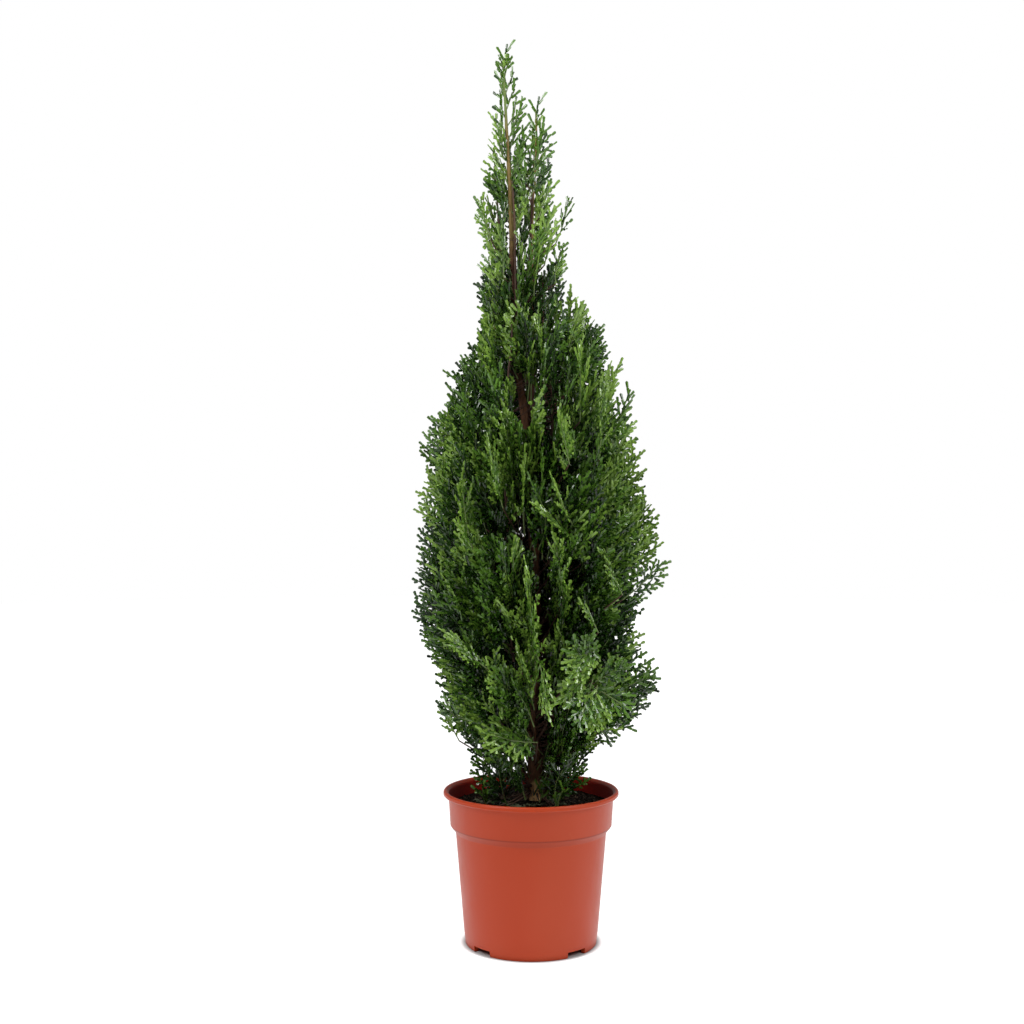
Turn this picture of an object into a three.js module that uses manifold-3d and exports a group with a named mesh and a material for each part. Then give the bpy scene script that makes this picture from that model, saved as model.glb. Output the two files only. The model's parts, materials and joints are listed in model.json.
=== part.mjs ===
// A young columnar thuja in a moulded plastic nursery pot.
// Millimetres, +Z up. The origin is the middle of the pot's underside, and -Y is the front.
// The trunk and a second leader run up through the foliage. Boughs climb from the trunk to
// plumes of foliage, which are closed, uneven solids that keep clear of each other.
import * as THREE from "three";
import { mergeVertices } from "three/addons/utils/BufferGeometryUtils.js";
import Module from "manifold-3d";

const wasm = await Module();
wasm.setup();

// ---------- Driving dimensions ----------
const POT = {
  height: 165,
  rimRadius: 95,
  rimInside: 91,
  lipHeight: 5.5,
  bandTop: 89.7,
  bandBottom: 87.5,
  bandLow: 127.5, // height of the band's lower edge
  shoulderRadius: 81.8,
  shoulderLow: 121,
  baseRadius: 71.1,
  wall: 1.8,
  footHeight: 6.5,
  footWidth: 5,
  hubRadius: 30,
  plate: 2,
  segments: 32,
};
const NOTCH = { count: 4, width: 25, firstAzimuth: 42 };
const DRAIN = { radius: 5, ring: 52, sides: 12 };
const SOIL = { top: 151, edge: 148.5, crown: 24 };
const TREE_TOP = 975;
const GAP = 0.35; // clearance between pieces that meet
const PLUME_GAP = 4.6; // clearance between plumes
const SMOOTHING = 2.2; // slivers smaller than this are taken out of a plume that has been cut
const SEED = 7;

const COLOURS = {
  pot: { color: 0xb0472c, roughness: 0.45 },
  soil: { color: 0x1d160e, roughness: 0.95 },
  bark: { color: 0x5d4328, roughness: 0.9 },
  foliage: { color: 0x3f6124, roughness: 0.6 },
};

// Stations up the crown: height, middle in X, half width, middle in Y and half depth.
const CROWN = [
  [158, 0, 50, 0, 50],
  [196, -1, 66, 0, 64],
  [226, 5, 84, 0, 80],
  [262, 18, 112, 0, 98],
  [290, 18, 119, -2, 106],
  [335, 3, 121, -3, 111],
  [392, 5, 129, -2, 115],
  [430, 12, 136, 0, 117],
  [500, 2, 125, 0, 114],
  [550, -4, 115, 0, 104],
  [602, 6, 99, 0, 90],
  [655, 6, 75, 0, 70],
  [690, -3, 58, 0, 56],
  [735, -12, 51, 0, 50],
  [810, -15, 50, 0, 44],
  [862, -14, 38, 0, 32],
  [915, -22, 26, 0, 22],
  [TREE_TOP, -30, 14, 0, 12],
];

// Centrelines: [x, y, z, radius], from the flat cut at the soil up to the tip.
const TRUNK = [
  [6, 6, SOIL.top + GAP, 11.5],
  [5.5, 6, 158, 9.6],
  [5, 5, 172, 8.2],
  [4, 4, 205, 7.4],
  [1, 2, 255, 6.9],
  [5, 0, 320, 6.4],
  [4, 0, 400, 5.8],
  [0, 0, 480, 5.1],
  [-5, 0, 560, 4.4],
  [-16, 0, 630, 3.8],
  [-20, 0, 710, 3.2],
  [-22, 0, 800, 2.5],
  [-26, 0, 873, 1.8],
  [-29, 0, 930, 1.2],
  [-30, 0, 962, 0.7],
];
const SECOND_LEADER = [
  [-5, 0, 556, 3],
  [0, 2, 585, 2.8],
  [3, 3, 640, 2.6],
  [1, 2, 720, 2.3],
  [1, 1, 795, 1.9],
  [6, 0, 860, 1.4],
  [5, 0, 905, 0.7],
];
// Side stems that stand up close beside the trunk's foot.
const LOW_STEMS = {
  low_stem_left: [
    [-4, 4, 178, 3.4],
    [-16, 5, 192, 3.2],
    [-26, 4, 226, 2.8],
    [-30, 2, 262, 2.2],
  ],
  low_stem_right: [
    [10, 4, 170, 4],
    [22, 5, 184, 3.8],
    [31, 5, 222, 3.3],
    [34, 3, 268, 2.6],
  ],
};

// Tiers of plumes round the trunk, evenly dealt on either side of the slot. Heights are of the
// plumes' feet and tips, wide and deep are half sizes, and start is how far out the feet stand.
const TIERS = [
  { name: "skirt", count: 5, foot: 158, tip: 292, wide: 37, deep: 24, start: 40, bough: false },
  { name: "low", count: 6, foot: 228, tip: 446, wide: 50, deep: 42, start: 40, bough: true },
  { name: "middle", count: 6, foot: 352, tip: 588, wide: 50, deep: 42, start: 40, bough: true },
  { name: "upper", count: 5, foot: 492, tip: 700, wide: 42, deep: 34, start: 30, bough: true },
];
const SLOT = -90; // direction of the slot between plumes that runs up the crown's front
// Plumes that belong to one place: the shoulders and the twin spires.
const SPIRES = [
  { name: "shoulder_left", at: [-46, 2], to: [-50, 0], foot: 612, tip: 742, wide: 21, deep: 34 },
  { name: "shoulder_right", at: [34, -4], to: [26, 0], foot: 585, tip: 745, wide: 25, deep: 36 },
  { name: "spire_left", at: [-36, 4], to: [-49, 0], foot: 668, tip: 868, wide: 21, deep: 29 },
  { name: "spire_right", at: [8, 0], to: [17, 0], foot: 690, tip: 885, wide: 24, deep: 30 },
  { name: "spire_front", at: [-14, -28], to: [-20, -16], foot: 640, tip: 850, wide: 20, deep: 18 },
  { name: "spire_back", at: [-14, 28], to: [-20, 16], foot: 640, tip: 850, wide: 20, deep: 18 },
  { name: "leader_tip", at: [-26, 0], to: [-30, 0], foot: 832, tip: TREE_TOP, wide: 21, deep: 14 },
  { name: "second_tip", at: [5, 0], to: [5, 0], foot: 838, tip: 918, wide: 18, deep: 13 },
];
const HANG = 12; // how much lower the plumes on the right hang than the ones in the middle
const RINGS = 7; // level rings up each plume
const SIDES = 7; // corners round each ring
const LUMPS = 0.13; // how uneven a plume is, as a share of its size

// ---------- Helpers ----------

// A repeatable random number between 0 and 1 for each call.
function randomSource(seed) {
  let state = seed;
  return () => {
    state = (state * 1664525 + 1013904223) % 4294967296;
    return state / 4294967296;
  };
}

// Value at x in rows sorted by their first number, smoothed between the rows.
function along(rows, x, column) {
  const last = rows.length - 1;
  if (x <= rows[0][0]) return rows[0][column];
  if (x >= rows[last][0]) return rows[last][column];
  const i = rows.findIndex((row) => row[0] > x) - 1;
  const t = (x - rows[i][0]) / (rows[i + 1][0] - rows[i][0]);
  return THREE.MathUtils.lerp(rows[i][column], rows[i + 1][column], t * t * (3 - 2 * t));
}

// Distance from the crown's middle to its surface at this height and direction.
function crownReach(z, azimuth) {
  const across = Math.cos(azimuth) / along(CROWN, z, 2);
  const deep = Math.sin(azimuth) / along(CROWN, z, 4);
  return 1 / Math.hypot(across, deep);
}

// The manifold solid of a closed geometry.
function solidOf(geometry) {
  const bare = geometry.clone();
  bare.deleteAttribute("normal");
  bare.deleteAttribute("uv");
  const merged = mergeVertices(bare, 1e-4);
  return new wasm.Manifold(
    new wasm.Mesh({
      numProp: 3,
      vertProperties: new Float32Array(merged.attributes.position.array),
      triVerts: new Uint32Array(merged.index.array),
    }),
  );
}

// The named mesh of a manifold solid.
function meshOf(name, solid, look) {
  const mesh = solid.getMesh();
  const geometry = new THREE.BufferGeometry();
  const corners = new Float32Array(mesh.numVert * 3);
  for (let i = 0; i < mesh.numVert; i++) {
    corners.set(mesh.vertProperties.subarray(i * mesh.numProp, i * mesh.numProp + 3), i * 3);
  }
  geometry.setAttribute("position", new THREE.BufferAttribute(corners, 3));
  geometry.setIndex(new THREE.BufferAttribute(new Uint32Array(mesh.triVerts), 1));
  const material = new THREE.MeshStandardMaterial({ ...COLOURS[look], metalness: 0 });
  const made = new THREE.Mesh(geometry, material);
  made.name = name;
  return made;
}

// A closed skin over rings of points that all have the same count, with a point at each end.
function skinOver(rings, first, last) {
  const points = [first, ...rings.flat(), last];
  const sides = rings[0].length;
  const faces = [];
  const corner = (ring, side) => 1 + ring * sides + (side % sides);
  const end = points.length - 1;
  for (let s = 0; s < sides; s++) {
    faces.push(0, corner(0, s + 1), corner(0, s));
    faces.push(end, corner(rings.length - 1, s), corner(rings.length - 1, s + 1));
    for (let r = 0; r + 1 < rings.length; r++) {
      faces.push(corner(r, s), corner(r, s + 1), corner(r + 1, s + 1));
      faces.push(corner(r, s), corner(r + 1, s + 1), corner(r + 1, s));
    }
  }
  const geometry = new THREE.BufferGeometry().setFromPoints(points);
  geometry.setIndex(faces);
  return geometry;
}

// A tapering limb of level rings. Its foot is a flat cut, and grow makes it fatter all over.
function limbSolid(stations, grow = 0, ringGap = 30, sides = 8) {
  const curve = new THREE.CatmullRomCurve3(
    stations.map(([x, y, z]) => new THREE.Vector3(x, y, z)),
    false,
    "centripetal",
  );
  const count = Math.max(4, Math.round(curve.getLength() / ringGap));
  const heights = stations.map(([, , z, radius]) => [z, radius]);
  const rings = [];
  for (let i = 0; i <= count; i++) {
    const middle = curve.getPoint(i / count);
    const radius = along(heights, middle.z, 1) + grow;
    const lift = i === 0 ? -grow : i === count ? grow : 0;
    const ring = [];
    for (let s = 0; s < sides; s++) {
      const angle = (2 * Math.PI * s) / sides;
      ring.push(
        new THREE.Vector3(
          middle.x + radius * Math.cos(angle),
          middle.y + radius * Math.sin(angle),
          middle.z + lift,
        ),
      );
    }
    rings.push(ring);
  }
  const middleOf = (ring) =>
    ring.reduce((sum, p) => sum.add(p), new THREE.Vector3()).divideScalar(ring.length);
  return solidOf(skinOver(rings, middleOf(rings[0]), middleOf(rings[rings.length - 1])));
}

// Radius share up a plume: a quick swell above the foot, then a long draw to the tip.
function flame(t) {
  return Math.pow(Math.sin(Math.PI * Math.pow(t, 0.72)), 0.72);
}

// An uneven plume. centreAt(t) gives the ring's middle, and facing is the azimuth it looks to.
function plumeSolid(plume, centreAt, facing, grow = 0) {
  const random = randomSource(SEED * 977 + plume.number * 131);
  const waves = [2, 3, 5].map((lobes, i) => ({
    lobes,
    phase: random() * 2 * Math.PI,
    climb: (random() - 0.5) * 9 + (i - 1) * 3,
    size: LUMPS / (i + 1),
  }));
  const outward = new THREE.Vector3(Math.cos(facing), Math.sin(facing), 0);
  const sideways = new THREE.Vector3(-Math.sin(facing), Math.cos(facing), 0);
  const rings = [];
  for (let r = 0; r < RINGS; r++) {
    const t = (r + 0.6) / (RINGS + 0.2);
    const middle = centreAt(t);
    const ring = [];
    for (let s = 0; s < SIDES; s++) {
      const angle = (2 * Math.PI * s) / SIDES;
      const lump = waves.reduce(
        (sum, w) => sum + w.size * Math.sin(w.lobes * angle + w.climb * t + w.phase),
        1,
      );
      const size = flame(t) * lump;
      ring.push(
        middle
          .clone()
          .addScaledVector(outward, (plume.deep * size + grow) * Math.cos(angle))
          .addScaledVector(sideways, (plume.wide * size + grow) * Math.sin(angle)),
      );
    }
    rings.push(ring);
  }
  // The two ends move out along the centreline, so that a grown plume holds the plain one.
  const past = (end, inside) =>
    centreAt(end).add(centreAt(end).sub(centreAt(inside)).setLength(3 * grow));
  return solidOf(skinOver(rings, past(0, 0.03), past(1, 0.97)));
}

// The largest body of a solid that a cut may have split.
function largest(solid) {
  const bodies = solid.decompose();
  return bodies.reduce((a, b) => (b.volume() > a.volume() ? b : a));
}

// ---------- Pot and compost ----------

const wallRadius = (z) =>
  POT.baseRadius + ((POT.shoulderRadius - POT.baseRadius) * z) / POT.shoulderLow;

function latheSolid(profile) {
  const points = profile.map(([r, z]) => new THREE.Vector2(r, z));
  const lathe = new THREE.LatheGeometry(points, POT.segments);
  return solidOf(lathe.rotateX(Math.PI / 2));
}

function potSolid() {
  const p = POT;
  const plateTop = p.footHeight + p.plate;
  const footInside = p.baseRadius - p.footWidth;
  const shell = latheSolid([
    [0, 0],
    [p.hubRadius, 0],
    [p.hubRadius + 2, p.footHeight],
    [footInside, p.footHeight],
    [footInside, 0],
    [p.baseRadius - 1.5, 0],
    [wallRadius(1.5), 1.5],
    [p.shoulderRadius, p.shoulderLow],
    [p.bandBottom, p.bandLow],
    [p.bandTop, p.height - p.lipHeight],
    [p.rimRadius - 1.5, p.height - p.lipHeight],
    [p.rimRadius, p.height - p.lipHeight + 1.5],
    [p.rimRadius - 0.4, p.height - 1.2],
    [p.rimRadius - 1.8, p.height],
    [p.rimInside + 0.6, p.height],
    [p.bandTop - p.wall, p.height - 3],
    [p.bandBottom - p.wall, p.bandLow + 0.6],
    [p.shoulderRadius - p.wall, p.shoulderLow + 0.6],
    [wallRadius(plateTop) - p.wall, plateTop],
    [p.hubRadius, plateTop],
    [p.hubRadius - 2, p.plate],
    [0, p.plate],
  ]);
  const cuts = [];
  for (let i = 0; i < NOTCH.count; i++) {
    const azimuth = THREE.MathUtils.degToRad(NOTCH.firstAzimuth + (360 / NOTCH.count) * i);
    const notch = new THREE.BoxGeometry(p.footWidth * 3, NOTCH.width, p.footHeight * 2 - 0.4);
    notch.translate(p.baseRadius - 1, 0, 0).rotateZ(azimuth);
    const drain = new THREE.CylinderGeometry(DRAIN.radius, DRAIN.radius, 12, DRAIN.sides);
    drain.rotateX(Math.PI / 2).translate(DRAIN.ring, 0, plateTop - 1).rotateZ(azimuth);
    cuts.push(solidOf(notch), solidOf(drain));
  }
  return cuts.reduce((solid, cut) => solid.subtract(cut), shell);
}

function soilSolid() {
  const p = POT;
  const inside = (z) => wallRadius(z) - p.wall - GAP;
  const floor = p.footHeight + p.plate + GAP;
  const bandInside = p.bandBottom - p.wall - GAP;
  const bandSlope = (p.bandTop - p.bandBottom) / (p.height - p.lipHeight - p.bandLow);
  return latheSolid([
    [0, p.plate + GAP],
    [p.hubRadius - 2 - GAP, p.plate + GAP],
    [p.hubRadius - GAP, floor],
    [inside(floor), floor],
    [inside(p.shoulderLow), p.shoulderLow + 1],
    [bandInside, p.bandLow + 1],
    [bandInside + bandSlope * (SOIL.edge - p.bandLow), SOIL.edge],
    [SOIL.crown, SOIL.top],
    [0, SOIL.top],
  ]);
}

// ---------- Plant ----------

const group = new THREE.Group();
const potted = potSolid();
const compost = soilSolid();
group.add(meshOf("pot", potted, "pot"), meshOf("compost", compost, "soil"));

const trunk = limbSolid(TRUNK);
const trunkClear = limbSolid(TRUNK, GAP);
const leader = largest(limbSolid(SECOND_LEADER, 0, 34, 7).subtract(trunkClear));
group.add(meshOf("trunk", trunk, "bark"), meshOf("second_leader", leader, "bark"));

// What the next solid has to keep clear of.
let taken = trunkClear.add(limbSolid(SECOND_LEADER, GAP, 34, 7));
for (const [name, stations] of Object.entries(LOW_STEMS)) {
  group.add(meshOf(name, largest(limbSolid(stations, 0, 18, 7).subtract(trunkClear)), "bark"));
  taken = taken.add(limbSolid(stations, GAP, 18, 7));
}
const woodClear = taken;

// The plumes, each with its own centreline.
const random = randomSource(SEED);
const plumes = [];
for (const tier of TIERS) {
  for (let i = 0; i < tier.count; i++) {
    const jitter = () => (random() - 0.5) * 2;
    const half = Math.PI / tier.count;
    const bearing = THREE.MathUtils.degToRad(SLOT) + half * (2 * i + 1);
    const facing = bearing + jitter() * 0.07;
    const hang = HANG * Math.cos(facing);
    const plume = {
      name: `${tier.name}_plume_${i + 1}`,
      tier: tier.name,
      number: plumes.length,
      foot: tier.foot - hang + jitter() * 8,
      tip: tier.tip - hang + jitter() * 14,
      wide: tier.wide * (1 + jitter() * 0.07),
      deep: tier.deep * (1 + jitter() * 0.06),
      facing,
      bough: tier.bough,
      // The upright planes that part this plume from its neighbours in the tier.
      partings: [bearing - half, bearing + half].map((angle, side) => {
        const turn = side ? -1 : 1;
        return [-Math.sin(angle) * turn, Math.cos(angle) * turn, 0];
      }),
    };
    plume.centreAt = (t) => {
      const z = THREE.MathUtils.lerp(plume.foot, plume.tip, t);
      const edge = crownReach(z, facing) - plume.deep * flame(t) * 0.97;
      const inner = Math.min(tier.start, edge);
      const out = THREE.MathUtils.smoothstep(t, 0, 0.42);
      const distance = Math.max(THREE.MathUtils.lerp(inner, edge, out), 8) * (1 - 0.1 * t * t * t);
      return new THREE.Vector3(
        along(CROWN, z, 1) + distance * Math.cos(facing),
        along(CROWN, z, 3) + distance * Math.sin(facing),
        z,
      );
    };
    plumes.push(plume);
  }
}
for (const spire of SPIRES) {
  const plume = { ...spire, number: plumes.length, facing: Math.PI / 2, bough: false };
  // Spires face +Y, so their depth in Y is the outward size and their width in X the sideways one.
  plume.centreAt = (t) =>
    new THREE.Vector3(
      THREE.MathUtils.lerp(spire.at[0], spire.to[0], t),
      THREE.MathUtils.lerp(spire.at[1], spire.to[1], t),
      THREE.MathUtils.lerp(spire.foot, spire.tip, t),
    );
  plumes.push(plume);
}

// A plume cut off above the compost and parted from its neighbours in the same tier.
function partedPlume(plume, grow) {
  const apart = grow > 0 ? 0.1 : PLUME_GAP / 2;
  let solid = plumeSolid(plume, plume.centreAt, plume.facing, grow);
  solid = solid.trimByPlane([0, 0, 1], SOIL.top + 4 - grow);
  for (const normal of plume.partings ?? []) {
    const middle = plume.centreAt(0.5);
    const [x, y] = [along(CROWN, middle.z, 1), along(CROWN, middle.z, 3)];
    solid = solid.trimByPlane(normal, normal[0] * x + normal[1] * y + apart);
  }
  return solid;
}

const tierOf = (plume) => plume.tier ?? plume.name;
let tierTaken = [TRUNK, SECOND_LEADER, ...Object.values(LOW_STEMS)]
  .map((stations) => limbSolid(stations, PLUME_GAP, 34, 6))
  .reduce((all, limb) => all.add(limb));
for (const plume of plumes) {
  const before = plumes[plume.number - 1];
  if (!before || tierOf(before) !== tierOf(plume)) taken = woodClear.add(tierTaken);
  const smoothing = plume.tier ? SMOOTHING : 0.4; // the spires keep their points
  const made = largest(partedPlume(plume, 0).subtract(taken).simplify(smoothing));
  tierTaken = tierTaken.add(partedPlume(plume, PLUME_GAP));
  group.add(meshOf(plume.name, made, "foliage"));
}

// A bough climbs from the trunk to where it enters its plume.
taken = woodClear.add(tierTaken);
const trunkAt = (z) => new THREE.Vector3(along(TRUNK.map(([x, , h]) => [h, x]), z, 1),
  along(TRUNK.map(([, y, h]) => [h, y]), z, 1), z);
for (const plume of plumes.filter((p) => p.bough)) {
  const root = trunkAt(plume.foot - 34);
  const entry = plume.centreAt(0.2);
  const bend = root.clone().lerp(entry, 0.55);
  bend.z -= 8;
  const stations = [
    [root.x, root.y, root.z, 3.4],
    [bend.x, bend.y, bend.z, 2.8],
    [entry.x, entry.y, entry.z, 2.1],
  ];
  const bough = limbSolid(stations, 0, 16, 6).subtract(taken);
  const free = bough.decompose().filter((b) => b.volume() > 20);
  if (!free.length) continue;
  const nearest = free.reduce((a, b) => (b.boundingBox().min[2] < a.boundingBox().min[2] ? b : a));
  group.add(meshOf(plume.name.replace("plume", "bough"), nearest, "bark"));
  taken = taken.add(limbSolid(stations, GAP, 16, 6));
}

export default group;
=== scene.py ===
"""A young columnar thuja in a moulded nursery pot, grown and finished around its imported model."""

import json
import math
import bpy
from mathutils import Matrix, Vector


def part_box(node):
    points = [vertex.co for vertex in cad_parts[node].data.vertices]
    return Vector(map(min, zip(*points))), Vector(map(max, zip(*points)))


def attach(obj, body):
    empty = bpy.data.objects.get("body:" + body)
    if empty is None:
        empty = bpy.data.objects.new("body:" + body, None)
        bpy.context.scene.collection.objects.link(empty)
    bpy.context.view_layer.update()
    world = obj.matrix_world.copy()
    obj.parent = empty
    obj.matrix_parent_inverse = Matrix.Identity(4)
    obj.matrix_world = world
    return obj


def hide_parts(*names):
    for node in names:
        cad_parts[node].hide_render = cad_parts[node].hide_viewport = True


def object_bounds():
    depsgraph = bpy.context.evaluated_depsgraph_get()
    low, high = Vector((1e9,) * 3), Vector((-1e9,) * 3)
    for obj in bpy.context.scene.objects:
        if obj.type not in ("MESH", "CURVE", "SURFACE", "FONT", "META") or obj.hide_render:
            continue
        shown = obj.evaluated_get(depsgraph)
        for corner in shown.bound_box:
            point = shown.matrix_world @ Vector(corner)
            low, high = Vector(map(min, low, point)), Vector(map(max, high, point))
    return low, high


bl_info = {
    "name": "Potted Thuja",
    "version": (1, 0, 0),
    "blender": (4, 5, 0),
    "location": "View3D > Sidebar > Thuja",
    "description": "Grows a young thuja with fans of scale leaves, in a nursery pot",
    "category": "Add Mesh",
}

from typing import NamedTuple

import bmesh
import bpy
import numpy as np
from bpy.props import FloatProperty, FloatVectorProperty, IntProperty, PointerProperty
from mathutils import Matrix, Vector, noise

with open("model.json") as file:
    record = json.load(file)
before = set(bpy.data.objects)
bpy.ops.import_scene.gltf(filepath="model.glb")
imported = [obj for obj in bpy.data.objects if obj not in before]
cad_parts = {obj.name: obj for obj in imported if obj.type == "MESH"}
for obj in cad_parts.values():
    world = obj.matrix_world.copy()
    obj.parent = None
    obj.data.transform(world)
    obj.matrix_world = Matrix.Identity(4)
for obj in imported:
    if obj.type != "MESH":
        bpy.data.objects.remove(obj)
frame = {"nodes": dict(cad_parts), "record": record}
CAD_BOX = [list(corner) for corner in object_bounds()]
SLOT_OF = {part["node"]: part["material_slot"] for part in frame["record"]["subparts"]}
PLUMES = sorted(name for name, slot in SLOT_OF.items() if slot == "foliage")
POT_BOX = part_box("pot")
COMPOST_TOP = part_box("compost")[1].z
MM = 0.001
UP = np.array([0.0, 0.0, 1.0])
ALLOWANCE = 14 * MM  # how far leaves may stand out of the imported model's box


# ---------- Sizes and colours ----------


def length(name, description, default):
    """A length that shows in the sidebar."""
    return FloatProperty(name=name, description=description, default=default, unit="LENGTH", precision=4)


def colour(name, description, default):
    """A colour that shows in the sidebar."""
    return FloatVectorProperty(
        name=name, description=description, default=default, subtype="COLOR", size=3, min=0.0, max=1.0
    )


class ThujaStage(bpy.types.PropertyGroup):
    eye_height: length("Eye Height", "Height of the camera above the floor", 0.466)
    eye_distance: length("Eye Distance", "Distance from the camera to the pot's axis", 1.49)
    eye_offset: length("Eye Offset", "How far the camera stands to the right of the pot's axis", -0.0206)
    lens: FloatProperty(name="Lens", description="Focal length in millimetres", default=48.2)
    sky: FloatProperty(name="Room Light", description="Strength of the light from the room", default=0.37)
    floor: colour("Floor", "Colour of the floor", (0.45, 0.45, 0.45))


class ThujaPot(bpy.types.PropertyGroup):
    height: length("Height", "Height of the pot", POT_BOX[1].z)
    rim_radius: length("Rim Radius", "Outer radius of the rolled lip", POT_BOX[1].x)
    wall: length("Wall", "Thickness of the wall", 1.8 * MM)
    plastic: colour("Plastic", "Colour of the moulded plastic", (0.342, 0.032, 0.004))
    worn: colour("Scuffed Plastic", "Colour where the plastic is rubbed", (0.40, 0.075, 0.032))
    # Painted shade: a darker colour for the slope under the band and a thin line along the band's lower edge.
    grime: colour("Slope Shade Plastic", "Colour of the painted shade under the band", (0.120, 0.012, 0.004))
    # Painted shade: a darker colour for the wall inside the pot, above the compost.
    damp: colour("Inside Shade Plastic", "Colour of the wall inside, above the compost", (0.330, 0.012, 0.003))


class ThujaCompost(bpy.types.PropertyGroup):
    crumbs: IntProperty(name="Crumbs", description="Number of loose crumbs", default=2600)
    crumb_size: length("Crumb Size", "Size of the largest crumbs", 3.6 * MM)
    dark: colour("Peat", "Colour of the moist peat", (0.0075, 0.0042, 0.0025))
    light: colour("Fibre", "Colour of the dry fibres and chips", (0.070, 0.042, 0.022))


class ThujaWood(bpy.types.PropertyGroup):
    relief: length("Bark Relief", "Depth of the ridges in the bark", 0.9 * MM)
    bark: colour("Bark", "Colour of the old bark", (0.056, 0.023, 0.011))
    ridge: colour("Bark Ridges", "Colour of the dry ridges", (0.145, 0.062, 0.027))
    # The bare patch is real, but its colour is partly painted light: paler than bare wood, so it shows
    # through the leaves' shade.
    peeled: colour("Peeled Bark", "Colour of the bare patch at the foot", (0.95, 0.65, 0.30))
    young: colour("Young Stem", "Colour of the leader's young bark", (0.170, 0.118, 0.036))
    green_stem: colour("Green Stem", "Colour of the stem near the tips", (0.105, 0.150, 0.040))


class ThujaFoliage(bpy.types.PropertyGroup):
    seed: IntProperty(name="Seed", description="Number that the growth starts from", default=11)
    spray: length("Spray Length", "Length of a fan at the widest part of the crown", 88 * MM)
    leaf_width: length("Leaf Width", "Width of a finger of scale leaves", 3.1 * MM)
    density: FloatProperty(name="Density", description="Share of the full number of sprays", default=1.0)
    deep: colour("Deep Green", "Leaves in the shade", (0.0040, 0.0155, 0.0014))
    middle: colour("Green", "Most of the leaves", (0.0165, 0.051, 0.0045))
    fresh: colour("Fresh Green", "Leaves at the outside", (0.066, 0.145, 0.015))
    bright: colour("Bright Green", "Young sprays", (0.165, 0.280, 0.040))


GROUPS = {
    "thuja_stage": ThujaStage,
    "thuja_pot": ThujaPot,
    "thuja_compost": ThujaCompost,
    "thuja_wood": ThujaWood,
    "thuja_foliage": ThujaFoliage,
}


# ---------- Shader helpers ----------


def plug(tree, target, value):
    """Links a wire to a socket, or sets the socket to a number or a colour."""
    if isinstance(value, Wire):
        tree.links.new(value.output, target)
    elif hasattr(value, "__len__") and len(value) == 3 and target.type == "RGBA":
        target.default_value = (*value, 1.0)
    else:
        target.default_value = value


class Wire:
    """One output in a node tree. Arithmetic on it adds Math nodes."""

    def __init__(self, tree, output):
        self.tree, self.output = tree, output

    def math(self, operation, first, second):
        node = self.tree.nodes.new("ShaderNodeMath")
        node.operation = operation
        plug(self.tree, node.inputs[0], first)
        plug(self.tree, node.inputs[1], second)
        return Wire(self.tree, node.outputs[0])

    def __add__(self, other):
        return self.math("ADD", self, other)

    def __sub__(self, other):
        return self.math("SUBTRACT", self, other)

    def __rsub__(self, other):
        return self.math("SUBTRACT", other, self)

    def __mul__(self, other):
        return self.math("MULTIPLY", self, other)

    __radd__ = __add__
    __rmul__ = __mul__


class Nodes:
    """Adds nodes to one tree."""

    def __init__(self, tree):
        self.tree = tree

    def node(self, kind, settings=None, values=None, output=0):
        """Adds a node with its settings first and then its sockets, and gives back one output."""
        made = self.tree.nodes.new(kind)
        for key, value in (settings or {}).items():
            setattr(made, key, value)
        for key, value in (values or {}).items():
            plug(self.tree, made.inputs[key], value)
        return Wire(self.tree, made.outputs[output])

    def step(self, value, low, high):
        """Runs smoothly from 0 to 1 as value goes from low to high."""
        settings = {"interpolation_type": "SMOOTHSTEP"}
        return self.node(
            "ShaderNodeMapRange", settings, {"Value": value, "From Min": low, "From Max": high}
        )

    def blend(self, share, first, second):
        """A colour between two colours."""
        return self.node("ShaderNodeMix", {"data_type": "RGBA"}, {0: share, 6: first, 7: second}, 2)


class Finish(Nodes):
    """A material being made up from nodes on Object coordinates."""

    def __init__(self, name):
        self.material = bpy.data.materials.new(name)
        self.material.use_nodes = True
        super().__init__(self.material.node_tree)
        self.shader = self.tree.nodes["Principled BSDF"]
        self.place = self.node("ShaderNodeTexCoord", output="Object")

    def along(self, axis):
        """The place's distance along X, Y or Z."""
        return self.node("ShaderNodeSeparateXYZ", None, {"Vector": self.place}, axis)

    def from_axis(self):
        """The place's distance from the upright axis of the pot."""
        level = self.node("ShaderNodeVectorMath", {"operation": "MULTIPLY"}, {0: self.place, 1: (1, 1, 0)})
        return self.node("ShaderNodeVectorMath", {"operation": "LENGTH"}, {0: level}, "Value")

    def stretched(self, scale):
        """The place on the piece with each axis scaled, for grain that runs one way."""
        return self.node("ShaderNodeMapping", None, {"Vector": self.place, "Scale": scale})

    def noise(self, scale, detail=3.0, roughness=0.55, where=None):
        """Uneven cloudy values from 0 to 1."""
        values = {"Vector": where or self.place, "Scale": scale, "Detail": detail, "Roughness": roughness}
        return self.node("ShaderNodeTexNoise", None, values)

    def bump(self, height, distance, strength):
        """A relief of some height in metres, for the surface's normal."""
        values = {"Height": height, "Distance": distance, "Strength": strength}
        return self.node("ShaderNodeBump", None, values)

    def done(self, **sockets):
        """Sets the surface's own sockets and gives back the material."""
        for key, value in sockets.items():
            plug(self.tree, self.shader.inputs[key.replace("_", " ")], value)
        return self.material


BAND = 37 * MM  # from the top of the pot's lip down to the lower edge of its band
SLOPE = 44 * MM  # from the top of the lip down to the foot of the slope under the band


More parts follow.
